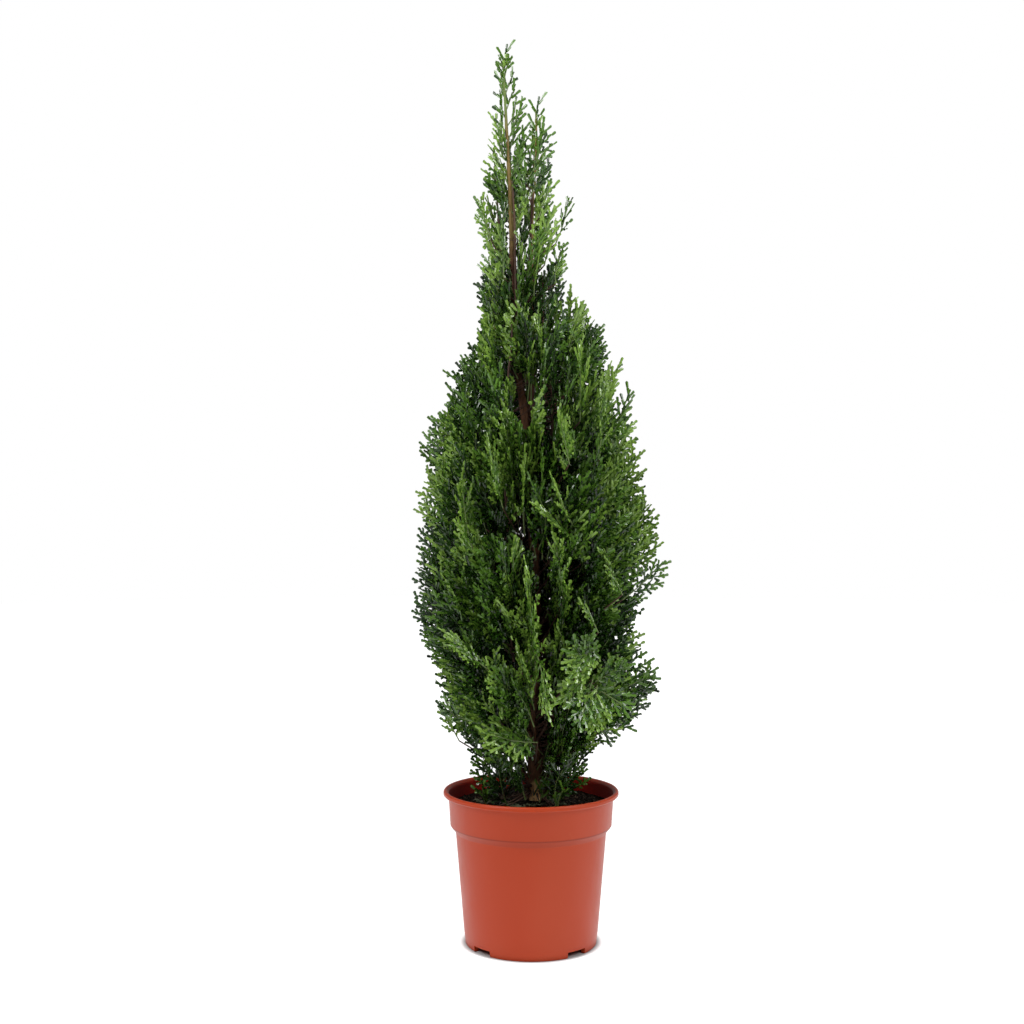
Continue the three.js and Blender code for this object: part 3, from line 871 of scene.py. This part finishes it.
class Fan:
    """One flat spray of scale leaves in its own plane: u runs up the axis, v across, w out of it.

    Each leaf has a start, an end, a half width, a roll about its own line and an age, which is 0 at
    the heart of the spray and 1 at its young tips."""

    def __init__(self, rng, long, width, form):
        self.starts, self.ends, self.halves, self.rolls, self.ages = [], [], [], [], []
        self.rng, self.width, self.long = rng, width, long
        self.joint, self.finger, self.last = form.joint * MM, form.finger * MM, form.last * MM
        count = max(4, int(long / (form.gap * MM)))
        sway = rng.normal(0, 0.05, 2)

        def spine(t):
            """A point on the fan's swaying axis, from its foot at 0 to its tip at 1."""
            return np.array([long * t, long * (sway[0] * t * t + sway[1] * math.sin(4 * t)), 0.0])

        self.axis = [spine(t) for t in (0.0, 0.25, 0.5, 0.75)]
        side = 1 if rng.random() < 0.5 else -1
        for number in range(1, count):
            t = number / count
            side = -side
            # The branches are longest below the fan's middle, and short at its tip.
            swell = math.sin(math.pi * min(1.0, t + 0.10) ** 0.72) ** 0.75 if t < 0.9 else 0.35
            branch = form.reach * long * swell * rng.uniform(0.80, 1.12)
            lean = math.radians(rng.normal(form.lean - 0.37 * form.lean * t, 5))
            self.grow_branch(spine(t), lean, side, branch, rng.normal(0, 0.11))
        self.chain(spine(0.35), spine(1.0), 0.8)
        self.starts, self.ends = np.array(self.starts), np.array(self.ends)
        self.halves, self.rolls = np.array(self.halves), np.array(self.rolls)
        self.ages, self.axis = np.array(self.ages), np.array(self.axis)

    def leaf(self, start, end, half, age):
        """A finger of one joint, or of two where it is long."""
        run = end - start
        joints = [(start, end)]
        if np.linalg.norm(run) > 6 * MM:
            joints = [(start, start + run * 0.54), (start + run * 0.46, end)]
        for first, last in joints:
            self.starts.append(first)
            self.ends.append(last)
            self.halves.append(half)
            self.rolls.append(self.rng.normal(0, 0.42))
            self.ages.append(age)

    def chain(self, start, end, age):
        """Leaves end to end along a straight run."""
        run = np.linalg.norm(end - start)
        pieces = max(1, round(run / (8.5 * MM)))
        for number in range(pieces):
            a = start + (end - start) * number / pieces
            b = start + (end - start) * min(1.0, (number + 1.12) / pieces)
            self.leaf(a, b, self.width * 0.42, age)

    def grow_branch(self, foot, lean, side, branch, tilt):
        """A side branch that bends forward, with fingers on both its sides and one at its end."""
        rng = self.rng
        joints = max(0, round((branch - self.last * 0.6) / self.joint))
        place, heading = np.array(foot), lean
        hand = 1 if rng.random() < 0.5 else -1
        since = place
        for number in range(1, joints + 1):
            share = number / joints
            heading = lean * (1 - 0.32 * share)
            step = unit(np.array([math.cos(heading), side * math.sin(heading), tilt * (0.4 + share)]))
            place = place + step * self.joint
            if number % 3 == 0 or number == joints:
                self.leaf(since, place + step * 1.0 * MM, self.width * 0.46, share)
                since = place
            hand = -hand
            if rng.random() < 0.05:
                continue
            finger = min(self.finger, branch * 0.45) * (1.0 - 0.40 * share) * rng.uniform(0.75, 1.15)
            turn = heading + hand * math.radians(rng.normal(44, 7))
            point = np.array([math.cos(turn), side * math.sin(turn), tilt * 0.6 + rng.normal(0, 0.12)])
            self.leaf(place, place + unit(point) * max(4.5 * MM, finger), self.width * 0.5, 0.4 + 0.6 * share)
        step = np.array([math.cos(heading), side * math.sin(heading), tilt])
        reach = self.last * rng.uniform(0.8, 1.15)
        self.leaf(place, place + unit(step) * reach, self.width * 0.53, 1.0)


class Harvest:
    """All the leaves grown so far for one joined piece."""

    enough = 0.7  # share of a fan that has to lie clear of the gap at the front
    young_age = 0.80  # from this age a leaf has the brighter of its spray's two tints

    def __init__(self, eye):
        self.eye = eye
        self.starts, self.ends, self.sides, self.outs = [], [], [], []
        self.halves, self.tints = [], []

    def add(self, placed, tint, rng, clear_slot=True, last_tint=BRIGHT):
        """Adds a placed fan, cut back where it would close a gap. Says whether it was added."""
        starts, ends, normal, fan = placed
        middles = (starts + ends) / 2
        kept = ~in_slot(middles) if clear_slot else np.ones(len(starts), bool)
        if kept.mean() < self.enough:
            return False
        kept &= ~outside(ends) & ~in_chink(middles, self.eye)
        if clear_slot:
            kept &= ~in_hollow(middles, self.eye)
        starts, ends = starts[kept], ends[kept]
        runs = unit(ends - starts)
        flat = unit(np.cross(normal, runs))
        rolls = fan.rolls[kept][:, None]
        sides = np.cos(rolls) * flat + np.sin(rolls) * np.cross(runs, flat)
        self.starts.append(starts)
        self.ends.append(ends)
        self.sides.append(sides)
        self.outs.append(np.cross(sides, runs))
        self.halves.append(fan.halves[kept])
        young = fan.ages + rng.normal(0, 0.16, len(fan.ages)) > self.young_age
        self.tints.append(np.minimum(tint + young[kept], last_tint))
        return True

    def mesh(self, name):
        """The leaves as a mesh, each a blunt finger of two faces folded along its middle."""
        start, end = np.concatenate(self.starts), np.concatenate(self.ends)
        side, out = np.concatenate(self.sides), np.concatenate(self.outs)
        half = np.concatenate(self.halves)[:, None]
        run = end - start
        fold = out * half * 0.6
        points = np.stack([
            start,
            start + run * 0.12 + side * half * 0.80 - fold,
            start + run * 0.84 + side * half - fold,
            end,
            start + run * 0.84 - side * half - fold,
            start + run * 0.12 - side * half * 0.80 - fold,
        ], 1)
        quads = np.array([(0, 3, 2, 1), (0, 5, 4, 3)])
        faces = quads[None] + (np.arange(len(start)) * 6)[:, None, None]
        tints = np.repeat(np.concatenate(self.tints), 2)
        return mesh_from_arrays(name, points.reshape(-1, 3), faces.reshape(-1, 4), tints)

    def done(self, name, materials, replaced=()):
        """Puts the leaves in the scene as one piece."""
        new_piece(name, self.mesh(name), materials, replaced)


def place_fan(fan, base, along, normal, scale, bend, cup, mirror):
    """Puts a fan's foot at base, its axis along a direction and its face to a normal.

    Gives back the two ends of its leaves, its normal and the fan, and then the line of its axis."""
    along = unit(along)
    across = unit(np.cross(normal, along)) * mirror
    normal = np.cross(along, across)
    span = fan.long * scale

    def placed(points):
        u, v, w = (points * scale).T
        lift = bend * span * (u / span) ** 2 + cup * span * (v / span) ** 2 + w
        return base + u[:, None] * along + v[:, None] * across + lift[:, None] * normal

    return (placed(fan.starts), placed(fan.ends), normal, fan), placed(fan.axis)


# Height in metres, and how far the sprays stand out of the plain crown on each side in millimetres.
BULGE_RIGHT = ((0.19, -24), (0.215, -20), (0.235, -8), (0.26, 16), (0.31, -12), (0.34, -24), (0.36, -20),
               (0.395, -24), (0.41, -10), (0.45, -14), (0.49, 4), (0.53, 2), (0.56, 10), (0.60, 0), (0.62, 6),
               (0.66, 24), (0.69, 18), (0.71, -9), (0.74, 8), (0.77, 2), (0.80, 8), (0.85, 6), (0.88, -4))
BULGE_LEFT = ((0.19, -14), (0.21, -8), (0.235, 32), (0.27, 20), (0.31, -3), (0.34, -9), (0.37, 0), (0.40, -3),
              (0.43, 6), (0.46, -9), (0.51, 0), (0.54, -8), (0.57, -3), (0.62, 3), (0.64, -9), (0.67, -18),
              (0.70, 0), (0.72, -9), (0.75, 6), (0.77, 4), (0.80, 16), (0.83, 10), (0.85, -8), (0.88, -12))


class Hull:
    """How far the crown reaches from its middle at each height and in each direction."""

    low, high = 0.15, 0.97  # heights between which the crown is measured
    rings, turns, samples = 62, 30, 60000

    def __init__(self):
        rng = np.random.default_rng(3)
        triangles = np.concatenate([node_triangles(name) for name in PLUMES])
        _, area = faces_of(triangles)
        picked = triangles[rng.choice(len(area), self.samples, p=area / area.sum())]
        ring, turn, reach = self.cell(point_on_each(picked, rng))
        self.table = np.zeros((self.rings, self.turns))
        np.maximum.at(self.table, (ring.astype(int), turn.astype(int) % self.turns), reach)
        around = np.maximum(np.roll(self.table, 1, 1), np.roll(self.table, -1, 1))
        self.table = np.maximum(self.table, around * 0.93)

    def cell(self, points):
        """Ring and turn in the table, not yet rounded, and the distance from the crown's middle."""
        x, y = points[:, 0] - crown_middle(points[:, 2]), points[:, 1]
        ring = (points[:, 2] - self.low) / (self.high - self.low) * self.rings
        turn = (np.arctan2(y, x) / math.tau + 1) * self.turns
        return np.clip(ring, 0, self.rings - 1.001), turn, np.hypot(x, y)

    def overshoot(self, points):
        """How far points stand outside the crown, below zero for those inside it."""
        ring, turn, reach = self.cell(points)
        row, column = ring.astype(int), turn.astype(int) % self.turns
        above = np.minimum(row + 1, self.rings - 1)
        share = ring - row
        edge = self.table[row, column] * (1 - share) + self.table[above, column] * share
        x = (points[:, 0] - crown_middle(points[:, 2])) / np.maximum(reach, 1e-6)
        right = np.interp(points[:, 2], *zip(*BULGE_RIGHT)) * np.maximum(x, 0.0)
        left = np.interp(points[:, 2], *zip(*BULGE_LEFT)) * np.maximum(-x, 0.0)
        return reach - edge - (right + left) * MM


class Twigs:
    """Thin woody tubes, joined as they are added."""

    def __init__(self):
        self.points, self.faces, self.count, self.tints = [], [], 0, []

    def add(self, line, thick, thin, tint, sides=4):
        """A twig up a line, whose radius goes from thick to thin in millimetres."""
        radii = np.linspace(thick, thin, len(line)) * MM
        runs = unit(np.gradient(line, axis=0))
        across = unit(np.cross(runs, np.array([0.31, 0.95, 0.05])))
        up = np.cross(runs, across)
        angles = np.arange(sides) * math.tau / sides
        ring = np.cos(angles)[None, :, None] * across[:, None] + np.sin(angles)[None, :, None] * up[:, None]
        self.points.append((line[:, None] + ring * radii[:, None, None]).reshape(-1, 3))
        first = np.arange(len(line) - 1)[:, None] * sides
        here, after = np.arange(sides)[None], (np.arange(sides)[None] + 1) % sides
        quads = np.stack([first + here, first + after, first + sides + after, first + sides + here], -1)
        self.faces.append(quads.reshape(-1, 4) + self.count)
        self.tints.append(np.full(quads.shape[0] * sides, tint))
        self.count += len(line) * sides

    def mesh(self, name):
        """The twigs as a mesh."""
        arrays = (np.concatenate(parts) for parts in (self.points, self.faces, self.tints))
        return mesh_from_arrays(name, *arrays, smooth=True)


def curve_between(first, second, sag):
    """Five points from first to second that leave the first low and then climb."""
    t = np.linspace(0, 1, 5)[:, None]
    return first + (second - first) * t - UP * sag * np.sin(math.pi * t) * (1 - 0.3 * t)


def point_at(line, height):
    """The point of an upright line at some height."""
    return np.array([np.interp(height, line[:, 2], line[:, axis]) for axis in range(3)])


class Part(NamedTuple):
    """How one part of the crown is filled."""

    pieces: int  # joined pieces that its plumes are dealt out to
    sprays: int  # in each plume
    length: float  # of its sprays, as a share of the full length
    any_side: float  # share of the sprays that turn their face to any side
    usual: str  # form of most sprays
    other: str  # form of the rest
    other_share: float
    odds: tuple  # of the deep, the middle and the fresh tint


PARTS = {
    "skirt_plume": Part(1, 15, 0.58, 0.30, "full", "open", 0.40, (0.30, 0.45, 0.25)),
    "low_plume": Part(2, 54, 1.00, 0.22, "full", "open", 0.12, (0.35, 0.42, 0.23)),
    "middle_plume": Part(2, 60, 1.00, 0.16, "full", "steep", 0.15, (0.35, 0.42, 0.23)),
    "upper_plume": Part(1, 56, 0.84, 0.16, "full", "steep", 0.40, (0.27, 0.44, 0.29)),
    "shoulder": Part(1, 42, 0.68, 0.22, "steep", "full", 0.35, (0.20, 0.46, 0.34)),
    "spire": Part(1, 25, 0.66, 0.26, "steep", "open", 0.20, (0.18, 0.54, 0.28)),
}

FAN_STEP = math.radians(12)  # sprays gather in upright planes this far apart round the crown

# Sprays that stand out from the rest: foot and tip in millimetres, the way the face looks, the form
# and the tint.
FEATURES = (
    ((62, -92, 296), (44, -116, 249), (0.1, -1.0, 0.4), "broad", MIDDLE),
    ((66, -96, 290), (62, -114, 246), (0.1, -1.0, 0.4), "broad", FRESH),
    ((58, -92, 302), (28, -108, 272), (-0.1, -1.0, 0.3), "broad", FRESH),
    ((60, -90, 308), (36, -109, 337), (-0.1, -1.0, 0.2), "broad", MIDDLE),
    ((68, -92, 330), (34, -112, 300), (0.0, -1.0, 0.3), "broad", FRESH),
    ((52, -90, 306), (58, -106, 342), (0.2, -1.0, 0.1), "broad", MIDDLE),
    ((62, -86, 288), (101, -92, 262), (0.2, -1.0, 0.3), "broad", MIDDLE),
    ((64, -86, 292), (98, -88, 312), (0.2, -1.0, 0.1), "broad", MIDDLE),
    ((100, -22, 278), (134, -22, 291), (0.0, -1.0, 0.2), "sparse", MIDDLE),
    ((100, -18, 272), (135, -20, 279), (0.0, -1.0, 0.2), "sparse", DEEP),
    ((76, -42, 236), (108, -46, 240), (0.0, -1.0, 0.3), "sparse", MIDDLE),
    ((60, -42, 246), (86, -50, 226), (0.0, -1.0, 0.3), "open", DEEP),
    ((4, -92, 324), (17, -112, 258), (1.0, 0.35, 0.0), "full", FRESH),
    ((4, -84, 300), (-3, -116, 414), (1.0, 0.20, 0.0), "full", FRESH),
    ((6, -62, 226), (-52, -90, 240), (0.0, -0.8, 0.7), "broad", FRESH),
    ((2, -50, 230), (-14, -74, 212), (0.0, -1.0, 0.3), "broad", MIDDLE),
    ((-14, -72, 258), (-45, -106, 312), (0.8, -0.6, 0.2), "full", FRESH),
    ((9, -20, 155), (12, -28, 177), (0.0, -1.0, 0.0), "sparse", MIDDLE),
    ((28, -40, 150), (34, -54, 181), (0.0, -1.0, 0.0), "sparse", MIDDLE),
    ((-44, -32, 150), (-55, -42, 182), (0.0, -1.0, 0.0), "open", MIDDLE),
    ((-66, -20, 242), (-101, -22, 258), (0.0, -1.0, 0.1), "sparse", DEEP),
    ((-34, -18, 158), (-53, -36, 214), (0.1, -1.0, 0.0), "full", MIDDLE),
    ((-26, -34, 154), (-36, -52, 210), (0.2, -1.0, 0.1), "full", DEEP),
    ((-40, -8, 172), (-70, -22, 234), (0.0, -1.0, 0.0), "steep", DEEP),
    ((34, -18, 158), (47, -36, 212), (-0.1, -1.0, 0.0), "full", MIDDLE),
    ((26, -34, 154), (34, -52, 208), (-0.2, -1.0, 0.1), "full", DEEP),
    ((42, -8, 172), (66, -22, 232), (0.0, -1.0, 0.0), "steep", DEEP),
    ((-28, -10, 178), (-48, -26, 168), (0.0, -1.0, 0.3), "full", DEEP),
    ((30, -10, 178), (46, -26, 168), (0.0, -1.0, 0.3), "full", DEEP),
    ((98, -20, 372), (141, -22, 414), (0.0, -1.0, 0.1), "full", MIDDLE),
    ((-80, -25, 328), (-122, -30, 374), (0.0, -1.0, 0.1), "full", DEEP),
    ((-46, -90, 306), (-90, -94, 345), (0.5, -0.25, 0.8), "full", FRESH),
    ((38, -88, 515), (23, -112, 568), (1.0, 0.3, 0.2), "full", FRESH),
    ((42, -88, 452), (20, -114, 496), (0.7, -0.3, 0.5), "full", FRESH),
    ((42, -88, 436), (4, -114, 478), (0.5, -0.3, 0.7), "full", FRESH),
    ((94, -66, 380), (71, -96, 427), (0.7, -0.3, 0.5), "full", FRESH),
    ((68, -82, 342), (49, -106, 377), (0.7, -0.3, 0.5), "full", FRESH),
    ((-30, -80, 470), (-48, -112, 540), (1.0, -0.2, 0.1), "full", FRESH),
    ((-62, -68, 430), (-80, -96, 500), (1.0, -0.4, 0.1), "full", FRESH),
    ((70, -66, 520), (78, -86, 600), (1.0, 0.2, 0.0), "full", FRESH),
    ((50, -66, 560), (52, -84, 640), (1.0, 0.2, 0.0), "full", FRESH),
    ((32, -84, 372), (26, -114, 446), (1.0, 0.3, 0.0), "full", FRESH),
    ((-20, -80, 380), (-34, -112, 436), (0.8, -0.5, 0.2), "full", MIDDLE),
)


class THUJA_OT_foliage(bpy.types.Operator):
    """Grow the twigs and the fans of scale leaves on from the limbs"""

    bl_idname = "thuja.foliage"
    bl_label = "Foliage"

    # How far a spray's fingers end outside the crown in millimetres: the proud ones, and the rest.
    proud_share, proud_reach, usual_reach = 0.34, (-2, 5), (-19, -7)

    def execute(self, context):
        sizes, wood, stage = context.scene.thuja_foliage, context.scene.thuja_wood, context.scene.thuja_stage
        self.eye = np.array([stage.eye_offset, -stage.eye_distance, stage.eye_height])
        self.rng = np.random.default_rng(sizes.seed)
        self.twigs, self.hull = Twigs(), Hull()
        self.fans = {
            kind: [
                Fan(self.rng, sizes.spray * share, sizes.leaf_width * form.breadth, form)
                for share in np.linspace(*form.spans)
            ]
            for kind, form in FORMS.items()
        }
        self.trunk_line, _ = limb_line("trunk", 60)
        leader_line, _ = limb_line("second_leader", 30)
        greens = [
            leaf_finish("deep green scales", sizes.deep),
            leaf_finish("green scales", sizes.middle),
            leaf_finish("fresh green scales", sizes.fresh),
            leaf_finish("bright green scales", sizes.bright),
        ]
        for key, part in PARTS.items():
            plumes = [name for name in PLUMES if name.startswith(key)]
            for number, share in enumerate(np.array_split(plumes, part.pieces), 1):
                share = [str(plume) for plume in share]
                harvest = Harvest(self.eye)
                for plume in share:
                    self.fill_plume(harvest, plume, part, sizes)
                harvest.done(f"{key.split('_')[0]}_sprays_{number}", greens, share)
        shoots = Harvest(self.eye)
        self.grow_leader(shoots, self.trunk_line, 0.770, 0.955, 1.0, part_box("leader_tip")[1].z)
        self.grow_leader(shoots, leader_line, 0.760, 0.885, 0.80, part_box("second_tip")[1].z)
        shoots.done("leader_shoots", greens, ["leader_tip", "second_tip"])
        front = Harvest(self.eye)
        for feature in FEATURES:
            self.grow_feature(front, *feature)
        front.done("front_sprays", greens)
        fallen = Harvest(self.eye)
        self.drop_sprigs(fallen)
        dry = [
            leaf_finish("dry brown scales", (0.055, 0.033, 0.015), 0.7),
            leaf_finish("dry olive scales", (0.048, 0.054, 0.021), 0.7),
        ]
        fallen.done("fallen_sprigs", dry)
        bark = [leaf_finish("twig bark", wood.bark, 0.75), leaf_finish("green twigs", wood.green_stem, 0.6)]
        new_piece("twigs", self.twigs.mesh("twigs"), bark)
        return {"FINISHED"}

    def pick_fan(self, form, span):
        """One of the three fans of a form that are nearest in length."""
        near = sorted(self.fans[form], key=lambda fan: abs(fan.long - span))[:3]
        return near[self.rng.integers(3)]

    def plume_stem(self, plume):
        """The stem that carries a plume: from the trunk, up inside the plume to near its tip."""
        line, _ = limb_line(plume, 9, 0.06, 0.86)
        trunk = np.stack([point_at(self.trunk_line, z) for z in line[:, 2]])
        inside = line + (trunk - line) * np.linspace(0.42, 0.30, len(line))[:, None]
        inside[:, 2] = line[:, 2]
        climb = min(0.05, max(0.012, np.linalg.norm((inside[0] - trunk[0])[:2]) * 0.9))
        root = point_at(self.trunk_line, max(0.152, inside[0][2] - climb))
        return np.concatenate([root[None], inside])

    def fill_plume(self, harvest, plume, part, sizes):
        """Sprays that end on the outside of a plume, and smaller ones inside it."""
        rng = self.rng
        stem = self.plume_stem(plume)
        self.twigs.add(stem, 1.9, 0.8, WOODY, 6)
        triangles = node_triangles(plume)
        facing, area = faces_of(triangles)
        middle = triangles.mean(1)
        out = middle - np.stack([crown_middle(middle[:, 2]), 0 * middle[:, 2], middle[:, 2]], 1)
        outer = (facing * unit(out)).sum(1) > 0.12
        weight = area * np.where(outer, 1.0, 0.16)
        for triangle, point in self.spread(triangles, weight, int(part.sprays * sizes.density)):
            inner = not outer[triangle]
            point, outward, reach = self.gather(point)
            heading, normal = self.aim(point[2], outward, part.any_side)
            span = sizes.spray * part.length * rng.uniform(0.72, 1.18) * (0.72 if inner else 1.0)
            span = min(span, max(30 * MM, reach * 1.5 + 20 * MM))
            fan = self.pick_fan(part.other if rng.random() < part.other_share else part.usual, span)
            pose = (span / fan.long, rng.normal(0.02, 0.09), rng.normal(0.0, 0.16), rng.choice((-1, 1)))
            base = point - heading * span
            placed, axis = place_fan(fan, base, heading, normal, *pose)
            # The spray moves in or out until its fingers end at the outside of the crown.
            edge = rng.uniform(*(self.proud_reach if rng.random() < self.proud_share else self.usual_reach))
            proud = np.percentile(self.hull.overshoot(placed[1]), 95) - edge * MM
            base = base - outward * np.clip(proud, 0.0 if inner else -16 * MM, 45 * MM)
            placed, axis = place_fan(fan, base, heading, normal, *pose)
            # Sprays inside the crown all take the deep green, which is painted shade.
            tint = DEEP if inner else rng.choice(3, p=part.odds)
            if harvest.add(placed, tint, rng):
                self.join_spray(stem, base, axis)

    def gather(self, point):
        """Turns a point about the crown's middle towards the nearest plane that sprays gather in.

        Gives back the point, the level way out to it and its distance from the middle."""
        middle = np.array([crown_middle(point[2]), 0.0, point[2]])
        level = (point - middle) * (1, 1, 0)
        reach = np.linalg.norm(level)
        angle = math.atan2(level[1], level[0])
        angle += (round(angle / FAN_STEP) * FAN_STEP - angle) * 0.88
        outward = np.array([math.cos(angle), math.sin(angle), 0.0])
        return middle + outward * reach, outward, reach

    def aim(self, height, outward, any_side):
        """The direction of a spray's axis, and the way that its face looks."""
        rng = self.rng
        lift = math.radians(climb_angle(height) + rng.normal(0, 8))
        swing = rng.normal(0, 0.14) * math.cos(lift)
        heading = unit(outward * math.cos(lift) + UP * math.sin(lift) + np.cross(UP, outward) * swing)
        turn = rng.uniform(-1.5, 1.5) if rng.random() < any_side else rng.normal(0, 0.15)
        normal = unit(np.cross(heading, outward + UP * 0.01))
        return heading, normal * math.cos(turn) + np.cross(heading, normal) * math.sin(turn)

    def join_spray(self, stem, base, axis):
        """The twig from a plume's stem to a spray's foot, and the one up the spray."""
        sideways = np.linalg.norm((base - point_at(stem, base[2]))[:2])
        foot = point_at(stem, max(stem[0][2], base[2] - 0.5 * sideways))
        bare = curve_between(foot, base, 3 * MM)
        thick = 0.45 if in_slot(bare).any() else 1.0
        self.twigs.add(bare, 1.05 * thick, 0.75 * thick, WOODY)
        if not in_hollow(axis, self.eye).any():
            self.twigs.add(axis, 0.75, 0.4, GREEN)

    def spread(self, triangles, weight, count):
        """Points over some triangles, kept apart by taking the best of several tries."""
        rng = self.rng
        odds = weight / weight.sum()
        taken = []
        places = np.empty((0, 3))
        for _ in range(count):
            tries = rng.choice(len(triangles), 7, p=odds)
            points = point_on_each(triangles[tries], rng)
            best = 0
            if len(places):
                best = int(np.linalg.norm(points[:, None] - places[None], axis=2).min(1).argmax())
            taken.append((tries[best], points[best]))
            places = np.concatenate([places, points[best:best + 1]])
        return taken

    def grow_feature(self, harvest, foot, tip, face, form, tint):
        """One spray in a chosen place, with its twig back to the trunk."""
        rng = self.rng
        foot, tip = np.array(foot, float) * MM, np.array(tip, float) * MM
        span = np.linalg.norm(tip - foot)
        fan = self.pick_fan(form, span)
        pose = (span / fan.long, rng.normal(0, 0.05), rng.normal(0, 0.2), rng.choice((-1, 1)))
        placed, axis = place_fan(fan, foot, tip - foot, np.array(face), *pose)
        harvest.add(placed, tint, rng, clear_slot=False)
        root = point_at(self.trunk_line, max(0.155, foot[2] - 0.6 * np.hypot(foot[0], foot[1])))
        self.twigs.add(curve_between(root, foot, 4 * MM), 1.3, 0.7, WOODY)
        self.twigs.add(axis, 0.75, 0.4, GREEN)

    def drop_sprigs(self, harvest):
        """Bits of dry spray that lie on the compost."""
        rng = self.rng
        for number in range(20):
            turn, reach = rng.uniform(0, math.tau), rng.uniform(28, 66) * MM
            foot = np.array([reach * math.cos(turn), reach * math.sin(turn), COMPOST_TOP + 1.2 * MM])
            yaw = rng.uniform(0, math.tau)
            heading = np.array([math.cos(yaw), math.sin(yaw), rng.uniform(0.02, 0.14)])
            fan = self.fans["sparse"][rng.integers(3)]
            face = UP + rng.normal(0, 0.2, 3)
            placed, _ = place_fan(fan, foot, heading, face, rng.uniform(0.5, 0.8), 0.0, 0.1, 1)
            harvest.add(placed, number % 2, rng, clear_slot=False, last_tint=1)

    def grow_leader(self, harvest, line, bottom, top, size, peak):
        """Open shoots up a leader, shorter towards its tip, and its last fingers."""
        rng = self.rng
        height, number = bottom, 0
        while height < top:
            share = (height - bottom) / (top - bottom)
            place = point_at(line, height)
            span = size * (14 + 46 * (1 - share) ** 0.8) * MM * rng.uniform(0.8, 1.15)
            turn = number * math.pi + rng.normal(0, 0.5) * (1 - 0.5 * share)
            lift = math.radians(rng.normal(69 + 3 * share, 5))
            radial = np.array([math.cos(turn), math.sin(turn), 0.0])
            heading = radial * math.cos(lift) + UP * math.sin(lift)
            normal = unit(np.cross(heading, radial))
            normal = unit(normal + radial * rng.normal(0, 0.3))
            fan = self.pick_fan("steep" if span > 38 * MM else "leader", span)
            pose = (span / fan.long, rng.normal(-0.03, 0.08), 0.0, rng.choice((-1, 1)))
            placed, axis = place_fan(fan, place, heading, normal, *pose)
            harvest.add(placed, rng.choice((MIDDLE, MIDDLE, FRESH)), rng, clear_slot=False)
            self.twigs.add(axis, 0.8, 0.45, GREEN)
            height += (6.2 + 3.4 * share) * MM
            number += 1
        # The last shoot stands upright and ends at the peak.
        foot = point_at(line, peak - 46 * MM)
        fan = self.fans["leader"][4]
        front = np.array([0.0, -1.0, 0.0])
        placed, _ = place_fan(fan, foot, UP, front, (peak - foot[2]) / fan.long, 0.0, 0.0, 1)
        harvest.add(placed, MIDDLE, rng, clear_slot=False)


# ---------- Panel, registration and the run ----------


OPERATORS = (THUJA_OT_stage, THUJA_OT_pot, THUJA_OT_compost, THUJA_OT_wood, THUJA_OT_foliage)


class THUJA_PT_panel(bpy.types.Panel):
    """Lists the pieces of the potted thuja with their sizes and colours"""

    bl_idname = "THUJA_PT_panel"
    bl_label = "Potted Thuja"
    bl_space_type = "VIEW_3D"
    bl_region_type = "UI"
    bl_category = "Thuja"

    def draw(self, context):
        for operator, group in zip(OPERATORS, GROUPS):
            box = self.layout.box()
            box.operator(operator.bl_idname)
            settings = getattr(context.scene, group)
            for key in GROUPS[group].__annotations__:
                box.prop(settings, key)


def register():
    for made in (*GROUPS.values(), *OPERATORS, THUJA_PT_panel):
        bpy.utils.register_class(made)
    for key, group in GROUPS.items():
        setattr(bpy.types.Scene, key, PointerProperty(type=group))


def unregister():
    for key in GROUPS:
        delattr(bpy.types.Scene, key)
    for made in reversed((*GROUPS.values(), *OPERATORS, THUJA_PT_panel)):
        bpy.utils.unregister_class(made)


def main():
    """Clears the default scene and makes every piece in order."""
    for name in ("Cube", "Light", "Camera"):
        if name in bpy.data.objects:
            bpy.data.objects.remove(bpy.data.objects[name])
    register()
    for operator in OPERATORS:
        group, name = operator.bl_idname.split(".")
        getattr(getattr(bpy.ops, group), name)()
    bpy.context.view_layer.update()


if __name__ == "__main__":
    main()
